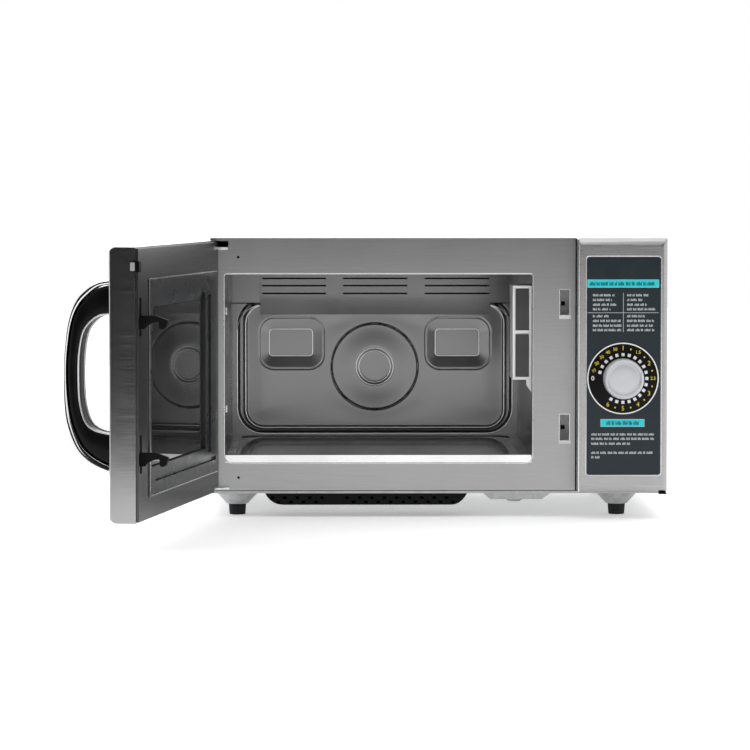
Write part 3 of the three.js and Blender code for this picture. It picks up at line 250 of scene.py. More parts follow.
def film(name, base, rough=0.34, fleck=0.12, gloss=0.5, glow=0.0):
    """Printed film or screen print: nearly even, with a very fine texture."""
    paint = Paint(name)
    cloud = paint.noise(60.0, 4.0)
    low = tuple(part * (1.0 - fleck) for part in base)
    high = tuple(min(1.0, part * (1.0 + fleck)) for part in base)
    paint.color(paint.ramp(cloud, (0.3, low), (0.7, high)))
    paint.roughness(paint.spread(cloud, rough - 0.06, rough + 0.06))
    paint.normal(paint.bump(paint.noise(2600.0), 0.00002, 0.3))
    paint.set(Specular_IOR_Level=gloss, Emission_Strength=glow)
    return paint.material


def polished_chrome(name):
    paint = Paint(name)
    cloud = paint.noise(22.0, 4.0)
    paint.color(paint.ramp(cloud, (0.3, gray(0.78)), (0.7, gray(0.90))))
    paint.roughness(paint.spread(cloud, 0.05, 0.12))
    paint.normal(paint.bump(paint.noise(60.0), 0.00005, 0.3))
    paint.set(Metallic=1.0)
    return paint.material


def dark_glass(name, see_through=0.0, ior=2.3):
    """Tinted glass with faint smears."""
    paint = Paint(name)
    smear = paint.noise((18.0, 18.0, 30.0), 3.0)
    paint.color(paint.ramp(smear, (0.3, gray(0.016)), (0.7, gray(0.024, (0.96, 0.99, 1.0)))))
    paint.roughness(paint.spread(smear, 0.012, 0.035))
    paint.normal(paint.bump(paint.noise(6.0, 0.0), 0.0002, 0.05))
    paint.set(IOR=ior, Transmission_Weight=see_through)
    return paint.material


def ceramic(name):
    """Grey glass-ceramic with a fine salt-and-pepper fleck."""
    paint = Paint(name)
    cloud = paint.noise(14.0, 3.0)
    fleck = paint.noise(900.0, 1.0)
    tone = paint.blend(cloud, 0.6, fleck)
    paint.color(paint.ramp(tone, (0.35, gray(0.20)), (0.65, gray(0.27))))
    paint.roughness(paint.spread(tone, 0.05, 0.11))
    paint.normal(paint.bump(fleck, 0.000004, 0.15))
    paint.set(IOR=2.0)
    return paint.material


def windings(name):
    """Enamelled wire: fine ridges round the coil."""
    paint = Paint(name)
    ridge = paint.node("TexWave", Scale=300.0)
    ridge.bands_direction = "Z"
    paint.link(paint.space, ridge.inputs["Vector"])
    paint.color(paint.ramp(ridge.outputs["Fac"], (0.1, (0.20, 0.06, 0.02)), (0.8, (0.60, 0.24, 0.09))))
    paint.roughness(paint.spread(ridge.outputs["Fac"], 0.3, 0.5, 0.0, 1.0))
    paint.normal(paint.bump(ridge.outputs["Fac"], 0.0004, 0.7))
    paint.set(Metallic=0.8)
    return paint.material


def laminations(name):
    """A stack of thin varnished iron plates."""
    paint = Paint(name)
    layer = paint.node("TexWave", Scale=320.0)
    layer.bands_direction = "Y"
    paint.link(paint.space, layer.inputs["Vector"])
    paint.color(paint.ramp(layer.outputs["Fac"], (0.2, gray(0.05)), (0.8, gray(0.14))))
    paint.roughness(paint.spread(paint.noise(80.0), 0.45, 0.7))
    paint.normal(paint.bump(layer.outputs["Fac"], 0.0002, 0.5))
    paint.set(Metallic=0.7)
    return paint.material


def circuit_board(name):
    """Green lacquer over copper tracks."""
    paint = Paint(name)
    tracks = paint.node("TexBrick", Scale=90.0, Color1=(0.012, 0.10, 0.035, 1.0),
                        Color2=(0.020, 0.14, 0.050, 1.0), Mortar=(0.03, 0.20, 0.07, 1.0))
    paint.link(paint.space, tracks.inputs["Vector"])
    paint.color(tracks.outputs["Color"])
    paint.roughness(paint.spread(paint.noise(120.0), 0.25, 0.5))
    paint.normal(paint.bump(tracks.outputs["Fac"], 0.0001, 0.4))
    return paint.material


STEEL = {
    "cabinet": brushed_steel("cabinet_steel", 0.36, 0.41, rough=(0.28, 0.36)),
    "wrap": brushed_steel("wrap_steel", 0.40, 0.46, rough=(0.30, 0.38)),
    "bezel": brushed_steel("bezel_steel", 0.38, 0.44, rough=(0.26, 0.34)),
    "door": brushed_steel("door_steel", 0.42, 0.54, rough=(0.18, 0.26), turn=OPEN),
    "door_pan": brushed_steel("door_pan_steel", 0.11, 0.14, rough=(0.28, 0.40), turn=OPEN),
    "cavity": satin_steel("cavity_sheet", 0.23, 0.26, rough=(0.20, 0.25)),
    # Lighter satin sheet: polished trims, and also bright strips laid on as painted highlights.
    "lip": satin_steel("polished_lip_and_painted_highlight", 0.70, 0.84, rough=(0.16, 0.26)),
    "zinc": zinc_sheet("zinc_sheet"),
    "pin": satin_steel("turned_steel", 0.70, 0.85, rough=(0.2, 0.35)),
}
# Black plastic; also the black bars laid in gaps and slots as painted shade.
BLACK = plastic("black_moulding_and_painted_shade", (0.003, 0.003, 0.0033), (0.012, 0.012, 0.013), gloss=0.12)
GRIP = plastic("grip_moulding", (0.003, 0.003, 0.0033), (0.012, 0.012, 0.013), (0.25, 0.38), gloss=0.14)
RUBBER = plastic("foot_rubber", (0.012, 0.012, 0.013), (0.05, 0.05, 0.05), (0.6, 0.8), 900.0, gloss=0.2)
CHOKE = plastic("choke_moulding", (0.020, 0.021, 0.023), (0.07, 0.07, 0.075), (0.24, 0.34), 1500.0,
                0.000008, gloss=0.5)
WHITE = plastic("white_moulding", (0.84, 0.85, 0.84), (0.90, 0.91, 0.90), (0.35, 0.5), 1200.0)
KNOB = plastic("knob_silver", (0.60, 0.61, 0.63), (0.63, 0.64, 0.66), (0.28, 0.30), 2200.0, 0.000002,
               metal=0.3)
SLATE = film("overlay_film", (0.014, 0.024, 0.030), gloss=0.3)
DIAL = film("dial_print", (0.002, 0.002, 0.0022), rough=0.5, gloss=0.15)
CHROME = polished_chrome("chrome")
GLASS_OUT = dark_glass("door_glass_outer", 0.35, 1.5)
GLASS_IN = dark_glass("door_glass_inner")
CERAMIC = ceramic("shelf_ceramic")
SHEET = film("stirrer_sheet", (0.45, 0.45, 0.44), 0.4, 0.06)
COPPER = windings("copper_windings")
IRON = laminations("core_iron")
BOARD = circuit_board("board_green")
SCREEN = satin_steel("screen_enamel", 0.02, 0.05, rough=(0.35, 0.5))
PANE = dark_glass("lamp_pane", 0.0, 1.5)

# The material of every CAD node that stays visible.
NODE_MATERIALS = {
    "cavity_front_plate": STEEL["cabinet"],
    "outer_wrap": STEEL["wrap"],
    "control_bezel": STEEL["bezel"],
    "door_frame": STEEL["door"],
    "door_inner_pan": STEEL["door_pan"],
    "hinge_upper": STEEL["pin"],
    "hinge_lower": STEEL["pin"],
    "cavity_shell": STEEL["cavity"],
    "cavity_back_wall": STEEL["cavity"],
    "rear_vent_cover": STEEL["cavity"],
    "handle_strap": CHROME,
    "choke_cover": CHOKE,
    "control_overlay": SLATE,
    "dial_plate": DIAL,
    "timer_knob": KNOB,
    "ceramic_shelf": CERAMIC,
    "stirrer_cover": SHEET,
    "door_front_glass": GLASS_OUT,
    "door_inner_glass": GLASS_IN,
    "door_screen": SCREEN,
    "transformer_core": IRON,
    "fan_motor": IRON,
    "transformer_primary": COPPER,
    "transformer_secondary": COPPER,
    "control_board": BOARD,
    "noise_filter": BOARD,
    "handle_grip": GRIP,
}
for slot, material in {
    "galvanised_steel": STEEL["zinc"],
    "black_plastic": BLACK,
    "foot_rubber": RUBBER,
    "white_plastic": WHITE,
}.items():
    for part in frame["record"]["subparts"]:
        if part["material_slot"] == slot:
            NODE_MATERIALS.setdefault(part["node"], material)

# How wide the rounded edges of a node are, in millimetres.
EDGE = {
    "outer_wrap": 0.5,
    "cavity_front_plate": 0.45,
    "control_bezel": 0.7,
    "door_frame": 0.5,
    "door_inner_pan": 0.8,
    "choke_cover": 0.7,
    "lamp_cover": 0.8,
    "latch_bar": 1.0,
    "intake_grille": 0.4,
    "base_plate": 0.4,
    "rear_vent_cover": 0.15,
    "cavity_back_wall": 0.6,
    "cavity_shell": 0.4,
    "ceramic_shelf": 0.5,
    "control_overlay": 0.15,
    "door_edge_clip": 0.4,
    "hinge_upper": 0.4,
    "hinge_lower": 0.4,
}
PLAIN_EDGE = 0.3
# The nodes whose flat facets are merged before their edges are rounded.
MERGED = ("rear_vent_cover", "choke_cover", "door_inner_pan", "door_frame")


def soften(piece, width):
    """Welds the facets of a piece and rounds its sharp edges, leaving its own vertices alone."""
    if piece.data.attributes.get("custom_normal"):
        piece.data.attributes.remove(piece.data.attributes["custom_normal"])
    piece.data.polygons.foreach_set("use_smooth", [True] * len(piece.data.polygons))
    weld = piece.modifiers.new("weld", "WELD")
    weld.merge_threshold = 0.00002
    if piece.name in MERGED:
        merge = piece.modifiers.new("merge_flat_facets", "DECIMATE")
        merge.decimate_type = "DISSOLVE"
        merge.angle_limit = math.radians(0.4)
    bevel = piece.modifiers.new("round_edges", "BEVEL")
    bevel.width = width * MM
    bevel.segments = 2
    bevel.limit_method = "ANGLE"
    bevel.angle_limit = math.radians(32.0)
    bevel.harden_normals = False
    normals = piece.modifiers.new("even_normals", "WEIGHTED_NORMAL")
    normals.keep_sharp = True
    normals.weight = 80


def dress(piece, material):
    piece.data.materials.clear()
    piece.data.materials.append(material)


def dress_nodes():
    for name, node in nodes.items():
        dress(node, NODE_MATERIALS[name])
        soften(node, EDGE.get(name, PLAIN_EDGE))


# ---------------------------------------------------------------- mesh helpers

def add_object(name, data):
    made = bpy.data.objects.new(name, data)
    bpy.context.scene.collection.objects.link(made)
    return made


def add_piece(name, mesh, body, material, replaces=()):
    piece = add_object(name, mesh)
    dress(piece, material)
    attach(piece, body)
    if replaces:
        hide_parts(*replaces)
    return piece


def mesh_of(name, vertices, faces, smooth=True):
    mesh = bpy.data.meshes.new(name)
    mesh.from_pydata([tuple(v) for v in vertices], [], faces)
    shape = bmesh.new()
    shape.from_mesh(mesh)
    bmesh.ops.remove_doubles(shape, verts=shape.verts, dist=1e-7)
    bmesh.ops.recalc_face_normals(shape, faces=shape.faces)
    shape.to_mesh(mesh)
    shape.free()
    mesh.polygons.foreach_set("use_smooth", [smooth] * len(mesh.polygons))
    return mesh


def skin(rows, lanes, closed=False):
    """The faces over rows of points. A closed skin joins its last row to its first, and an
    open one has a cap at each end."""
    faces = []
    for row in range(rows if closed else rows - 1):
        here, there = row * lanes, (row + 1) % rows * lanes
        for i in range(lanes):
            j = (i + 1) % lanes
            faces.append([here + i, here + j, there + j, there + i])
    if not closed:
        last = (rows - 1) * lanes
        faces.append(list(range(lanes)))
        faces.append([last + i for i in reversed(range(lanes))])
    return faces


def round_points(radius, count):
    """Points evenly spaced round a circle."""
    angles = [2 * math.pi * i / count for i in range(count)]
    return [(radius * math.cos(angle), radius * math.sin(angle)) for angle in angles]


class Slabs:
    """Thin prisms that stand on a plane, gathered into one mesh."""

    def __init__(self, place):
        self.place = place  # (across, up, out) in millimetres -> row frame
        self.vertices = []
        self.faces = []

    def add(self, vertices, faces):
        start = len(self.vertices)
        self.vertices += vertices
        self.faces += [[start + i for i in face] for face in faces]

    def polygon(self, outline, low, high):
        vertices = [self.place(a, b, out) for out in (low, high) for a, b in outline]
        self.add(vertices, skin(2, len(outline)))

    def bar(self, x0, x1, z0, z1, low, high):
        self.polygon([(x0, z0), (x1, z0), (x1, z1), (x0, z1)], low, high)

    def ring(self, x, z, inner, outer, low, high, steps=96):
        edges = ((inner, low), (outer, low), (outer, high), (inner, high))
        vertices = [self.place(x + a, z + b, out)
                    for radius, out in edges for a, b in round_points(radius, steps)]
        self.add(vertices, skin(len(edges), steps, closed=True))

    def mesh(self, name):
        return mesh_of(name, self.vertices, self.faces, smooth=False)


def turned(name, profile, centre, axis, steps=96):
    """A solid of revolution: profile of (radius, along) in millimetres round `axis`."""
    turn = axis.to_track_quat("Z", "Y").to_matrix()
    vertices = [centre + turn @ (Vector((a, b, along)) * MM)
                for radius, along in profile for a, b in round_points(radius, steps)]
    return mesh_of(name, vertices, skin(len(profile), steps))


def spline(points, steps):
    """Catmull-Rom points through a list of (a, b) pairs."""
    padded = [points[0], *points, points[-1]]
    curve = []
    for p0, p1, p2, p3 in zip(padded, padded[1:], padded[2:], padded[3:]):
        for i in range(steps):
            t = i / steps
            curve.append(tuple(
                0.5 * (2 * b + (c - a) * t + (2 * a - 5 * b + 4 * c - d) * t * t
                       + (3 * b - a - 3 * c + d) * t ** 3)
                for a, b, c, d in zip(p0, p1, p2, p3)
            ))
    curve.append(points[-1])
    return curve


# ---------------------------------------------------------------- control panel

DIAL_X, DIAL_Z = 205.4, 159.6
BEZEL_FRONT = -33.2
FILM_FACE = BEZEL_FRONT + 0.2
DIAL_FACE = FILM_FACE - 1.1
PRINT = 0.12  # thickness of the printed marks

CYAN = film("print_cyan", (0.0, 0.66, 0.72), 0.4, 0.05)
CYAN_TEXT = film("print_teal", (0.0, 0.07, 0.08), 0.4, 0.05)
PALE = film("print_pale", (0.40, 0.44, 0.46), 0.4, 0.06)
TEXT = film("print_text", (0.52, 0.54, 0.55), 0.4, 0.06)
YELLOW = film("print_yellow", (0.70, 0.55, 0.02), 0.4, 0.06)
INK_WHITE = film("print_white", (0.86, 0.87, 0.88), 0.4, 0.04)


def on_film(x, z, out):
    return CAB(x, FILM_FACE - out, z)


def on_dial(x, z, out):
    return CAB(x, DIAL_FACE - out, z)


def greeked_line(slabs, x0, x1, z, height, seed):
    """A row of short bars in place of words: lengths come from a fixed sequence."""
    lengths = (6.1, 3.4, 8.2, 4.6, 2.8, 7.0, 5.2, 3.9)
    x = x0
    i = seed
    while x < x1 - 1.0:
        end = min(x + lengths[i % len(lengths)], x1)
        stroke = x
        while stroke < end - 0.3:
            tall = height * (1.0 if (i + int(stroke * 3)) % 3 else 0.72)
            right = min(stroke + 0.95, end)
            slabs.bar(stroke, right, z - height / 2, z - height / 2 + tall, 0.0, PRINT)
            stroke += 1.35
        x = end + 1.4
        i += 1


def make_panel_print():
    left, right = 165.5, 245.4
    boxes = ((left, right, 262.4, 270.6), (180.7, 229.4, 105.4, 113.3))
    bars = Slabs(on_film)
    for box in boxes:
        bars.bar(*box, 0.0, PRINT)
    add_piece("panel_bars", bars.mesh("panel_bars"), "cabinet", CYAN)
    words = Slabs(lambda x, z, out: on_film(x, z, out + PRINT))
    greeked_line(words, left + 2.5, right - 2.5, 266.4, 4.2, 0)
    greeked_line(words, 187.0, 223.5, 109.3, 4.2, 3)
    add_piece("panel_bar_words", words.mesh("panel_bar_words"), "cabinet", CYAN_TEXT)
    lines = Slabs(on_film)
    middle = 205.7
    level = 233.7
    rule = 0.35
    lines.bar(middle - rule, middle + rule, level + rule, 256.0, 0.0, PRINT)
    lines.bar(middle - rule, middle + rule, 211.9, level - rule, 0.0, PRINT)
    lines.bar(left, right, level - rule, level + rule, 0.0, PRINT)
    # A thin pale frame round each of the two bars.
    edge = 0.5
    for x0, x1, z0, z1 in boxes:
        lines.bar(x0 - edge, x1 + edge, z1, z1 + edge, 0.0, PRINT)
        lines.bar(x0 - edge, x1 + edge, z0 - edge, z0, 0.0, PRINT)
        lines.bar(x0 - edge, x0, z0, z1, 0.0, PRINT)
        lines.bar(x1, x1 + edge, z0, z1, 0.0, PRINT)
    add_piece("panel_lines", lines.mesh("panel_lines"), "cabinet", PALE)
    words = Slabs(on_film)
    height = 2.6
    widths = ((24.0, 22.0, 27.0, 20.0, 20.0, 32.0, 32.0, 32.0),
              (25.0, 17.0, 22.0, 31.5, 20.0, 32.0, 29.0, 31.0))
    rows = (253.5, 248.2, 242.8, 237.7, 229.9, 224.6, 219.2, 214.2)
    for column, x0 in enumerate((171.4, 209.9)):
        for line, z in enumerate(rows):
            greeked_line(words, x0, x0 + widths[column][line], z, height, line + 3 * column)
    for line, (z, x1) in enumerate(((96.5, 240.6), (91.5, 240.9), (86.0, 213.5), (75.7, 240.3),
                                    (70.6, 179.5))):
        greeked_line(words, 170.0, x1, z, height, line)
    add_piece("panel_words", words.mesh("panel_words"), "cabinet", TEXT)
    make_film_trim()


def round_outline(x0, x1, z0, z1, radius, steps=8):
    """The points round a rectangle with round corners."""
    points = []
    corners = ((x1 - radius, z0 + radius), (x1 - radius, z1 - radius),
               (x0 + radius, z1 - radius), (x0 + radius, z0 + radius))
    for corner, (cx, cz) in enumerate(corners):
        for i in range(steps + 1):
            angle = math.radians(90.0 * (corner - 1 + i / steps))
            points.append((cx + radius * math.cos(angle), cz + radius * math.sin(angle)))
    return points


def make_film_trim():
    """The bright lip of the recess that the film lies in."""
    x0, x1, z0, z1 = 164.2, 248.1, 50.4, 296.8
    radius, width = 3.2, 1.1

    def outline(grow):
        return round_outline(x0 - grow, x1 + grow, z0 - grow, z1 + grow, radius + grow)

    rows = ((0.0, -0.35), (0.0, 0.12), (0.3, 0.4), (width - 0.3, 0.4), (width, 0.0), (width, -0.35))
    vertices = []
    for grow, out in rows:
        vertices += [CAB(x, BEZEL_FRONT - out, z) for x, z in outline(grow)]
    mesh = mesh_of("film_trim", vertices, skin(len(rows), len(outline(0.0)), closed=True))
    add_piece("film_trim", mesh, "cabinet", STEEL["lip"])


def text_mesh(name, labels, place):
    """Flat raised characters. Each label is (text, x, z, size, turn in degrees)."""
    gathered = bmesh.new()
    for text, x, z, size, turn in labels:
        curve = bpy.data.curves.new(name + "_curve", "FONT")
        curve.body = text
        curve.size = size * MM
        curve.align_x = "CENTER"
        curve.align_y = "CENTER"
        curve.offset = 0.00008
        curve.extrude = PRINT * MM / 2
        curve.resolution_u = 4
        helper = add_object(name + "_helper", curve)
        helper.location = place(x, z, PRINT / 2)
        helper.rotation_euler = (math.pi / 2, 0.0, 0.0)
        helper.rotation_euler.rotate_axis("Z", math.radians(turn))
        bpy.context.view_layer.update()
        made = bpy.data.meshes.new_from_object(helper.evaluated_get(
            bpy.context.evaluated_depsgraph_get()))
        made.transform(helper.matrix_world)
        gathered.from_mesh(made)
        bpy.data.objects.remove(helper)
        bpy.data.curves.remove(curve)
        bpy.data.meshes.remove(made)
    bmesh.ops.remove_doubles(gathered, verts=gathered.verts, dist=1e-7)
    mesh = bpy.data.meshes.new(name)
    gathered.to_mesh(mesh)
    gathered.free()
    return mesh


def make_dial():
    centre = CAB(DIAL_X, 0.0, DIAL_Z)
    front = Vector((0.0, -1.0, 0.0))
    disc = [(6.0, -FILM_FACE + 0.05), (40.4, -FILM_FACE + 0.05), (40.7, -DIAL_FACE - 0.2),
            (40.5, -DIAL_FACE), (6.0, -DIAL_FACE)]
    plate = turned("dial_disc", disc, centre, front)
    add_piece("dial_disc", plate, "cabinet", DIAL, ["dial_plate"])
    ring = Slabs(on_dial)
    ring.ring(DIAL_X, DIAL_Z, 39.0, 40.4, 0.0, PRINT)
    add_piece("dial_ring", ring.mesh("dial_ring"), "cabinet", INK_WHITE)
    squares = Slabs(on_dial)
    half = 1.75
    square_radius, number_radius = 26.9, 34.0
    for step in range(20):
        angle = math.radians(165.0 - 15.0 * step)
        x = DIAL_X + square_radius * math.cos(angle)
        z = DIAL_Z + square_radius * math.sin(angle)
        out = Vector((math.cos(angle), math.sin(angle)))
        side = Vector((-out.y, out.x))
        corners = [out * a * half + side * b * half for a, b in ((-1, -1), (1, -1), (1, 1), (-1, 1))]
        squares.polygon([(x + c.x, z + c.y) for c in corners], 0.0, PRINT)
    add_piece("dial_squares", squares.mesh("dial_squares"), "cabinet", INK_WHITE)
    labels = []
    dots = Slabs(on_dial)
    texts = ("10", "20", "30", "40", "50", "1", "", "1.5", "", "2", "", "2.5", "", "3", "", "4", "",
             "5", "", "6")
    for step, text in enumerate(texts):
        degrees = 165.0 - 15.0 * step
        angle = math.radians(degrees)
        x = DIAL_X + number_radius * math.cos(angle)
        z = DIAL_Z + number_radius * math.sin(angle)
        if text:
            wide = len(text) > 1
            turn = (degrees - 90.0) * 0.4 if step < 5 else 0.0
            labels.append((text, x, z, 5.0 if wide else 7.2, turn))
        else:
            dots.polygon([(x + a, z + b) for a, b in round_points(1.0, 16)], 0.0, PRINT)
    mesh = text_mesh("dial_numbers", labels, on_dial)
    add_piece("dial_numbers", mesh, "cabinet", YELLOW)
    add_piece("dial_dots", dots.mesh("dial_dots"), "cabinet", YELLOW)
    zero = text_mesh("dial_zero", [("0", DIAL_X - number_radius, DIAL_Z, 7.2, 0.0)], on_dial)
    add_piece("dial_zero", zero, "cabinet", INK_WHITE)


def make_knob():
    low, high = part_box("timer_knob")
    centre = CAB(DIAL_X, 0.0, DIAL_Z)
    front = -(low.y - ORIGIN.y) / MM
    back = -(high.y - ORIGIN.y) / MM
    profile = [(3.6, back + 0.2), (22.2, back), (22.75, back + 0.6), (22.8, back + 5.0),
               (22.6, front - 5.0), (22.3, front - 3.0), (21.8, front - 1.5), (21.1, front - 0.5),
               (20.2, front), (19.3, front - 0.15), (18.7, front - 0.9), (18.3, front - 2.0),
               (17.9, front - 2.8), (17.2, front - 3.1), (15.8, front - 3.0), (13.0, front - 2.75),
               (9.5, front - 2.6), (5.0, front - 2.6), (0.4, front - 2.65)]
    mesh = turned("knob_cap", profile, centre, Vector((0.0, -1.0, 0.0)))
    add_piece("knob_cap", mesh, "knob", KNOB, ["timer_knob"])


# ---------------------------------------------------------------- handle

HANDLE_U = (366.0, 398.0)
OUTER_FACE = -26.7
GRIP_OUTER = [(0.3, 275), (12.6, 273), (22.8, 266), (34, 254), (42, 235), (46.4, 205),
              (47.4, 178), (45, 148), (40, 128), (31, 109), (18, 97), (0.3, 88)]
GRIP_INNER = [(0.3, 245.5), (11.8, 244), (22, 238), (30.5, 226), (34.6, 204), (35.3, 180),
              (34, 154), (28.4, 134), (18.4, 124.9), (0.3, 120.5)]
STRAP_OUTER = [(0.3, 281), (14, 279), (25.5, 272.5), (38, 259.5), (46.2, 238), (50.6, 206),
               (51.6, 178), (51.4, 146), (47.5, 122), (38, 98), (22, 84), (0.3, 76)]


def strip_mesh(name, outer, inner, crown):
    """A bow between two curves of (distance from the door, height), crowned across its width."""
    count = 72

    def even(points):
        curve = spline([(float(a), float(b)) for a, b in points], 12)
        lengths = [0.0]
        for p, q in zip(curve, curve[1:]):
            lengths.append(lengths[-1] + math.dist(p, q))
        result = []
        k = 0
        for i in range(count + 1):
            goal = lengths[-1] * i / count
            while k < len(lengths) - 2 and lengths[k + 1] < goal:
                k += 1
            share = (goal - lengths[k]) / max(lengths[k + 1] - lengths[k], 1e-9)
            result.append(tuple(a + (b - a) * share for a, b in zip(curve[k], curve[k + 1])))
        return result

    out_side, in_side = even(outer), even(inner)
    middle = sum(HANDLE_U) / 2
    half = (HANDLE_U[1] - HANDLE_U[0]) / 2
    # Across the width: the section's corners are round and its faces are slightly crowned.
    section = []
    steps = 6
    for side, sign in ((1.0, 1), (0.0, -1)):
        for i in range(steps + 1):
            a = math.pi * (i / steps) if side else math.pi * (1 - i / steps)
            section.append((math.cos(a), side, math.sin(a) * sign))
    vertices = []
    for (d1, z1), (d0, z0) in zip(out_side, in_side):
        thick = math.hypot(d1 - d0, z1 - z0)
        lift = min(crown, thick * 0.25)
        for across, side, rise in section:
            shape = math.copysign(abs(across) ** 0.35, across)
            share = (side * (thick - 2 * lift) + lift + rise * lift) / thick
            d = d0 + (d1 - d0) * share
            z = z0 + (z1 - z0) * share
            vertices.append(DOOR(middle + half * shape, OUTER_FACE - d, z))
    return mesh_of(name, vertices, skin(count + 1, len(section)))


def make_handle():
    gap = 0.35
    inner = [(d if d < 1 else d + gap, z + (0.6 if z > 178 else -0.6)) for d, z in GRIP_OUTER]
    grip = strip_mesh("grip_moulding", GRIP_OUTER, GRIP_INNER, 3.0)
    add_piece("grip_moulding", grip, "door", GRIP, ["handle_grip"])
    strap = strip_mesh("strap_bright", STRAP_OUTER, inner, 1.2)
    add_piece("strap_bright", strap, "door", CHROME, ["handle_strap"])


# ---------------------------------------------------------------- door screen

def make_screen():
    """A perforated sheet inside the door: eight-sided holes in square cells."""
    u0, u1, z0, z1 = 54.0, 344.0, 70.0, 276.0
    pitch = 4.0
    columns, rows = int((u1 - u0) / pitch), int((z1 - z0) / pitch)
    hole = 1.45
    front, back = -8.0, -7.2
    sheet = bmesh.new()
    ring = round_points(hole, 8)
    half = pitch / 2
    edge = [(half, 0), (half, half), (0, half), (-half, half), (-half, 0), (-half, -half),
            (0, -half), (half, -half)]
    for row in range(rows):
        for column in range(columns):
            u = u0 + (column + 0.5) * pitch
            z = z0 + (row + 0.5) * pitch
            rim = [sheet.verts.new(DOOR(u + a, front, z + b)) for a, b in ring]
            outer = [sheet.verts.new(DOOR(u + a, front, z + b)) for a, b in edge]
            for k in range(8):
                m = (k + 1) % 8
                sheet.faces.new((outer[k], outer[m], rim[m], rim[k]))
    bmesh.ops.remove_doubles(sheet, verts=sheet.verts, dist=1e-5)
    bmesh.ops.recalc_face_normals(sheet, faces=sheet.faces)
    mesh = bpy.data.meshes.new("perforated_screen")
    sheet.to_mesh(mesh)
    sheet.free()
    piece = add_piece("perforated_screen", mesh, "door", SCREEN, ["door_screen"])
    thick = piece.modifiers.new("thickness", "SOLIDIFY")
    thick.thickness = (back - front) * MM
    thick.offset = 0.0


# ---------------------------------------------------------------- cavity trim

def make_opening_rim():
    """The rolled edge round the cavity's opening."""
    x0, x1, z0, z1 = -244.3, 105.1, 62.0, 276.3
    radius = 0.75
    big, small = 9.0, 2.5
    steps = 8
    path = []
    corners = ((x1, z0, big, -90), (x1, z1, small, 0), (x0, z1, small, 90), (x0, z0, big, 180))
    for x, z, r, start in corners:
        cx = x - r if x > 0 else x + r
        cz = z - r if z > 100 else z + r
        for i in range(steps + 1):
            angle = math.radians(start + 90.0 * i / steps)
            out = Vector((math.cos(angle), math.sin(angle)))
            path.append((Vector((cx, cz)) + out * r, out))
    section = 10
    vertices = []
    for point, out in path:
        for k in range(section):
            a = 2 * math.pi * k / section
            spot = point + out * radius * (math.cos(a) + 0.6)
            vertices.append(CAB(spot.x, 0.25 + radius * 0.8 * math.sin(a), spot.y))
    mesh = mesh_of("opening_rim", vertices, skin(len(path), section, closed=True))
    add_piece("opening_rim", mesh, "cabinet", STEEL["pin"])


# ---------------------------------------------------------------- pressed back wall

def smooth(value, low, high):
    """0 below `low`, 1 above `high`, and an even S between them."""
    share = min(max((value - low) / (high - low), 0.0), 1.0)
    return share * share * (3.0 - 2.0 * share)


def inside_round(x, z, x0, x1, z0, z1, radius):
    """How far a point lies inside a rectangle with round corners; negative outside."""
    across = abs(x - (x0 + x1) / 2) - (x1 - x0) / 2 + radius
    up = abs(z - (z0 + z1) / 2) - (z1 - z0) / 2 + radius
    outside = math.hypot(max(across, 0.0), max(up, 0.0))
    return radius - outside - min(max(across, up), 0.0)


def pocket_floor(x0, x1, z0, z1):
    """The flat floor of a pocket, as a rectangle and its corner radius."""
    return x0 + 12.0, x1 - 13.7, z0 + 16.0, z1 - 14.0, 4.5


def pocket_depth(x, z, x0, x1, z0, z1):
    """How deep a pocket is at a point: flat sides from its round outline down to its floor."""
    rim = inside_round(x, z, x0, x1, z0, z1, 18.0)
    floor = inside_round(x, z, *pocket_floor(x0, x1, z0, z1))
    if rim < -2.0:
        return 0.0
    share = 1.0 if floor >= 0.0 else max(rim, 0.0) / (max(rim, 0.0) - floor)
    groove = 0.35 * (1.0 - smooth(abs(rim), 0.3, 1.3))
    return POCKET_DEPTH * share + groove


RING_X, RING_Z = -70.2, 153.4
POCKETS = ((-211.7, -132.7, 150.5, 213.6), (-7.6, 72.0, 150.5, 213.6))
POCKET_DEPTH = 1.6
RECESS_OUTER = (-237.6, 97.6, 72.5, 236.0, 30.0)
RECESS_INNER = (-228.4, 88.6, 78.5, 231.0, 22.0)


def wall_depth(x, z):
    """How far back the pressed sheet of the rear wall lies at a point."""
    y = 368.0 - 6.0 * smooth(z, 230.6, 232.2)
    below = 1.0 - smooth(z, 229.6, 231.0)
    outer = inside_round(x, z, *RECESS_OUTER)
    inner = inside_round(x, z, *RECESS_INNER)
    y += below * (5.5 * smooth(outer, -1.0, 2.4) - 3.0 * smooth(inner, -3.0, -0.6))
    y += below * 1.4 * smooth(inner, 0.2, 2.2)
    for box in POCKETS:
        y += pocket_depth(x, z, *box)
    away = math.hypot(x - RING_X, z - RING_Z)
    y += 0.9 * (1.0 - smooth(abs(away - 53.0), 0.1, 1.2))
    # Between the groove and the small ring the sheet is drawn forward like a flat cone.
    y -= 0.9 * (1.0 - smooth(away, 20.0, 52.0)) * smooth(away, 16.0, 26.0)
    # A very shallow swell across the middle of the sheet.
    y += 0.5 * math.cos((x - RING_X) / 58.0) * smooth(inner, 4.0, 30.0) * smooth(away, 54.0, 80.0)
    return y


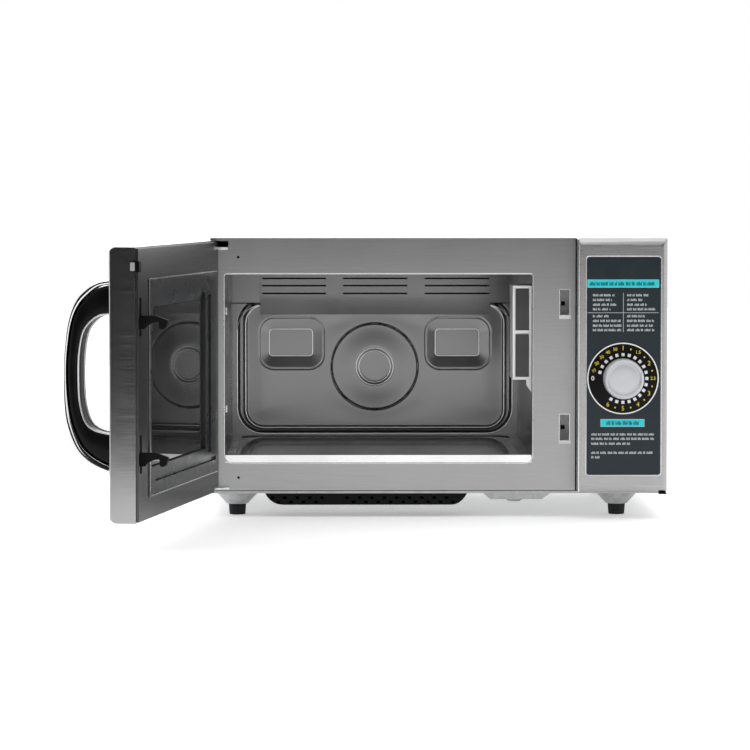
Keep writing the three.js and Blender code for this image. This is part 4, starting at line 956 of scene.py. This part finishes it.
def make_back_wall():
    """The pressed sheet as a fine height field, closed by a flat back."""
    x0, x1, z0, z1 = -244.9, 105.7, 61.2, 292.8
    step = 0.85
    back = 375.8
    columns, rows = int((x1 - x0) / step), int((z1 - z0) / step)
    wide = columns + 1
    vertices = []
    for row in range(rows + 1):
        z = z0 + (z1 - z0) * row / rows
        for column in range(wide):
            x = x0 + (x1 - x0) * column / columns
            vertices.append(CAB(x, wall_depth(x, z), z))
    faces = []
    for row in range(rows):
        for column in range(columns):
            a = row * wide + column
            faces.append([a, a + 1, a + wide + 1, a + wide])
    first = len(vertices)
    corners = ((x0, z0), (x1, z0), (x1, z1), (x0, z1))
    vertices += [CAB(x, back, z) for x, z in corners]
    bottom = list(range(0, columns + 1))
    right = [row * wide + columns for row in range(rows + 1)]
    top = [rows * wide + column for column in range(columns, -1, -1)]
    left = [row * wide for row in range(rows, -1, -1)]
    for side, edge in enumerate((bottom, right, top, left)):
        faces.append([first + side] + edge + [first + (side + 1) % len(corners)])
    faces.append([first + corner for corner in range(len(corners))])
    mesh = mesh_of("pressed_back", vertices, faces)
    mesh.set_sharp_from_angle(angle=math.radians(50.0))
    add_piece("pressed_back", mesh, "cabinet", STEEL["cavity"], ["cavity_back_wall"])


def wall_highlight_bead(name, outline, radius):
    """A fine flattened bright bead that follows a closed outline on the pressed wall: a painted highlight along a
    fold.
    """
    lanes, flat = 8, 0.1
    count = len(outline)
    vertices = []
    for i, (x, z) in enumerate(outline):
        before, after = Vector(outline[i - 1]), Vector(outline[(i + 1) % count])
        along = (after - before).normalized()
        out = Vector((along.y, -along.x))
        depth = min(wall_depth(x + out.x * step, z + out.y * step)
                    for step in (-radius, 0.0, radius)) - 0.15
        for k in range(lanes):
            a = 2 * math.pi * k / lanes
            side, lift = radius * math.cos(a), flat * radius * math.sin(a)
            vertices.append(CAB(x + out.x * side, depth - lift, z + out.y * side))
    mesh = mesh_of(name, vertices, skin(count, lanes, closed=True))
    add_piece(name, mesh, "cabinet", STEEL["lip"])


def make_wall_highlights():
    """Bright beads along the folds of the pressing, painted highlights where the folds catch the light."""
    top = 229.0
    for name, recess, grow in (("outer", RECESS_OUTER, 1.4), ("inner", RECESS_INNER, 0.3)):
        x0, x1, z0, _, radius = recess
        outline = round_outline(x0 - grow, x1 + grow, z0 - grow, top, radius + grow)
        wall_highlight_bead("recess_fold_highlight_" + name, outline, 0.7)
    for name, pocket in zip(("left", "right"), POCKETS):
        wall_highlight_bead("pocket_fold_highlight_" + name, round_outline(*pocket_floor(*pocket)), 0.6)
    for name, radius in (("outer", 22.8), ("inner", 19.4)):
        circle = [(RING_X + a, RING_Z + b) for a, b in round_points(radius, 60)]
        wall_highlight_bead("ring_fold_highlight_" + name, circle, 0.5)


# ---------------------------------------------------------------- small fittings, painted shade and painted highlights

def block(name, x0, x1, y0, y1, z0, z1, body, material, place=CAB):
    """A rectangular block with fine round edges."""
    section = [(y0, z0), (y1, z0), (y1, z1), (y0, z1)]
    vertices = [place(x, y, z) for x in (x0, x1) for y, z in section]
    mesh = mesh_of(name, vertices, skin(2, len(section)), smooth=False)
    soften(add_piece(name, mesh, body, material), 0.25)


def make_lip():
    """The bright rolled sill in front of the shelf."""
    section = [(16.0, 70.1), (16.0, 70.6), (4.4, 70.6), (-0.5, 62.5), (0.3, 62.3), (4.9, 70.1)]
    stations = (-243.6, -240.0, 100.8, 104.4)
    vertices = [CAB(x, y, z) for x in stations for y, z in section]
    mesh = mesh_of("sill_trim", vertices, skin(len(stations), len(section)), smooth=False)
    add_piece("sill_trim", mesh, "cabinet", STEEL["lip"])


def make_vent_shadows():
    """Black bars behind the louvres of the rear vent cover: painted shade in the slots."""
    front = 353.85
    shade_bars = Slabs(lambda x, up, out: CAB(x, front - out, up))
    for x0, x1 in ((-208.0, -130.0), (-109.0, -30.5), (-9.0, 70.0)):
        for z in (262.2, 253.3, 243.8):
            shade_bars.bar(x0, x1, z - 0.85, z + 0.85, -0.8, 0.0)
    add_piece("vent_painted_shade", shade_bars.mesh("vent_painted_shade"), "cabinet", BLACK)


def make_choke_highlight():
    """A bright strip on three sides of the raised choke cover on the inside of the door: a painted highlight along
    its edge.
    """
    face = 5.5
    x0, x1, z0, z1 = 9.4, 360.6, 53.4, 281.1
    width = 1.3
    highlight_strips = Slabs(lambda u, up, out: DOOR(u, face + out, up))
    highlight_strips.bar(x0, x1, z1 - width, z1, 0.0, 0.25)
    highlight_strips.bar(x0, x1, z0, z0 + width, 0.0, 0.25)
    highlight_strips.bar(x1 - 2 * width, x1, z0 + width, z1 - width, 0.0, 0.25)
    add_piece("choke_edge_painted_highlight", highlight_strips.mesh("choke_edge_painted_highlight"), "door", STEEL["lip"])


def make_lamp_panes():
    """Two dark panes in the lamp cover's frame."""
    for name, z0, z1 in (("lamp_pane_lower", 159.6, 207.4), ("lamp_pane_upper", 212.4, 259.4)):
        block(name, 86.6, 101.4, 10.6, 12.2, z0, z1, "cabinet", PANE)


def make_slot_highlight_and_ramp():
    """A bright strip round each latch slot's turned edge, a painted highlight, and the pale ramp at its mouth."""
    for name, z, tall in (("upper", 242.2, 4.2), ("lower", 100.5, 3.4)):
        x0, x1, z0, z1 = 136.0, 147.0, z - 16.5, z + 16.5
        wide = 0.6
        highlight_strips = Slabs(lambda x, up, out: CAB(x, -out, up))
        for a, b, c, d in ((x0 - wide, x0, z0, z1), (x1, x1 + wide, z0, z1),
                           (x0 - wide, x1 + wide, z1, z1 + wide)):
            highlight_strips.bar(a, b, c, d, -0.6, 0.3)
        mesh = highlight_strips.mesh("slot_edge_highlight_" + name)
        add_piece("slot_edge_highlight_" + name, mesh, "cabinet", STEEL["lip"])
        ramp = Slabs(lambda x, up, out: CAB(x, -out, up))
        ramp.bar(x0 - 0.7, x1 + 1.5, z0 - 0.2, z0 + tall, 0.05, 0.8)
        ramp.bar(x0 + 0.3, x1 - 0.3, z0 + 0.3, z0 + 2.4, -4.0, 0.4)
        add_piece("slot_ramp_" + name, ramp.mesh("slot_ramp_" + name), "cabinet",
                  WHITE)


def make_bezel_shade_and_highlight():
    """A black strip in the gap between the front plate and the bezel, painted shade, and a bright strip on the
    bezel's turned edge, a painted highlight.
    """
    # Painted shade: a black strip filling the dark gap.
    block("bezel_gap_painted_shade", 153.9, 154.85, 2.4, 8.0, 31.5, 315.5, "cabinet", BLACK)
    # Painted highlight: a bright strip on the bezel's front corner.
    block("bezel_edge_painted_highlight", 155.1, 156.5, -33.5, -33.0, 31.5, 316.0, "cabinet",
          STEEL["lip"])


def make_hinge_trim():
    """Bright bars in front of the hinge arms."""
    block("hinge_bar_upper", -250.5, -240.2, -2.4, -0.2, 303.9, 306.6, "cabinet",
          STEEL["lip"])
    block("hinge_bar_lower", -259.0, -239.0, -3.6, -0.2, 31.9, 34.6, "cabinet",
          STEEL["lip"])


def make_cavity_clips():
    """Two small clips on the left wall and the perforated strip beside the shelf."""
    for name, z in (("upper", 233.0), ("lower", 121.0)):
        block("wall_clip_" + name, -244.2, -242.4, 40.0, 52.0, z - 4.0, z + 4.0, "cabinet",
              STEEL["pin"])
    strip = Slabs(lambda x, y, out: CAB(x, y, 70.2 + out))
    for row in range(3):
        for i in range(9):
            y = 60.0 + i * 20.0
            x = -241.5 + row * 3.0
            strip.bar(x, x + 1.8, y, y + 9.0, 0.0, 0.4)
    mesh = strip.mesh("shelf_seal_beads")
    add_piece("shelf_seal_beads", mesh, "cabinet", STEEL["lip"])


def make_edge_clip_plate():
    """The small bright plate on the door's edge clip."""
    block("edge_clip_plate", 410.2, 410.85, -3.6, 1.2, 290.2, 298.8, "door",
          KNOB, DOOR)


def make_under_bezel_strip():
    """A short black strip under the right end of the bezel."""
    block("bezel_foot_strip", 246.6, 255.4, -31.0, -24.0, 28.6, 30.2, "cabinet",
          BLACK)


def make_handle_beads():
    """A bright bead along the grip's inner edge, and a pale one along its far edge."""
    count = 60
    curve = spline([(float(a), float(b)) for a, b in GRIP_INNER], 12)
    points = [curve[int(i * (len(curve) - 1) / count)] for i in range(count + 1)]
    for name, u, radius, squash, material in (
        ("grip_bead_near", HANDLE_U[1] - 1.4, 1.0, 1.0, CHROME),
        ("grip_bead_far", HANDLE_U[0] + 3.0, 2.6, 0.4, STEEL["lip"]),
    ):
        vertices = []
        lanes = 10
        for i, (d, z) in enumerate(points):
            before, after = points[max(i - 1, 0)], points[min(i + 1, count)]
            along = Vector((after[0] - before[0], after[1] - before[1])).normalized()
            out = Vector((along.y, -along.x))
            for k in range(lanes):
                a = 2 * math.pi * k / lanes
                lift = radius * squash * math.sin(a)
                vertices.append(DOOR(u + radius * math.cos(a), OUTER_FACE - d - out.x * lift,
                                     z + out.y * lift))
        mesh = mesh_of(name, vertices, skin(len(points), lanes))
        add_piece(name, mesh, "door", material)


# ---------------------------------------------------------------- stage

def make_card(name, corners, material):
    """A flat sheet of the studio."""
    card = add_object(name, mesh_of(name, corners, [[0, 1, 2, 3]], smooth=False))
    dress(card, material)
    return card


def make_floor():
    size = 7.0
    corners = [(-size, -size, 0), (size, -size, 0), (size, size, 0), (-size, size, 0)]
    make_card("floor", corners, film("studio_floor", (0.90, 0.90, 0.90), 0.6, 0.01, glow=0.35))


def add_light(name, place, target, size, power):
    lamp = bpy.data.lights.new(name, "AREA")
    lamp.shape = "RECTANGLE"
    lamp.size, lamp.size_y = size
    lamp.energy = power
    holder = add_object(name, lamp)
    holder.location = place
    holder.rotation_euler = (Vector(target) - Vector(place)).to_track_quat("-Z", "Y").to_euler()


def make_world():
    world = bpy.data.worlds.new("studio")
    bpy.context.scene.world = world
    world.use_nodes = True
    background = world.node_tree.nodes["Background"]
    background.inputs["Color"].default_value = (1.0, 1.0, 1.0, 1.0)
    background.inputs["Strength"].default_value = 1.0


def make_flags():
    """Dark cards in front of the oven, out of the picture. They shade the upper part of every
    panel that faces forward, and the bright floor lights the lower part; the second card hangs
    lower and stands where the door's free edge is mirrored."""
    felt = film("flag_felt", (0.012, 0.012, 0.012), 0.9, gloss=0.05)
    for name, x0, x1, y, z0, z1 in (("flag_wide", -1.5, 1.3, -1.0, 0.24, 0.85),
                                    ("flag_low", -0.95, -0.37, -0.96, 0.035, 0.5)):
        flag = make_card(name, [(x0, y, z0), (x1, y, z0), (x1, y, z1), (x0, y, z1)], felt)
        flag.visible_camera = False


def make_lights():
    make_world()
    make_flags()
    add_light("overhead", (0.2, 0.1, 2.4), (0.0, 0.1, 0.2), (3.0, 2.4), 16.0)
    add_light("front_left", (-2.2, -2.4, 2.2), (0.0, 0.0, 0.15), (1.2, 1.2), 14.0)
    add_light("behind", (0.0, 3.4, 0.9), (0.0, 0.0, 0.3), (4.6, 1.7), 32.0)


def make_camera():
    """Telephoto view from in front, a little to the left and above the top of the oven."""
    camera = bpy.data.cameras.new("camera")
    camera.sensor_width = 36.0
    camera.lens = 186.4
    camera.clip_end = 50.0
    holder = add_object("camera", camera)
    holder.location = CAB(-120.1, -4400.0, 388.7)
    down, right = math.radians(2.95), math.radians(0.605)
    holder.rotation_euler = (math.pi / 2 - down, 0.0, -right)
    bpy.context.scene.camera = holder


make_camera()
dress_nodes()
make_panel_print()
make_dial()
make_knob()
make_handle()
make_screen()
make_opening_rim()
make_back_wall()
make_wall_highlights()
make_lip()
make_vent_shadows()
make_choke_highlight()
make_lamp_panes()
make_slot_highlight_and_ramp()
make_bezel_shade_and_highlight()
make_hinge_trim()
make_cavity_clips()
make_edge_clip_plate()
make_under_bezel_strip()
make_handle_beads()
make_floor()
make_lights()
bpy.context.scene.view_settings.view_transform = "Standard"
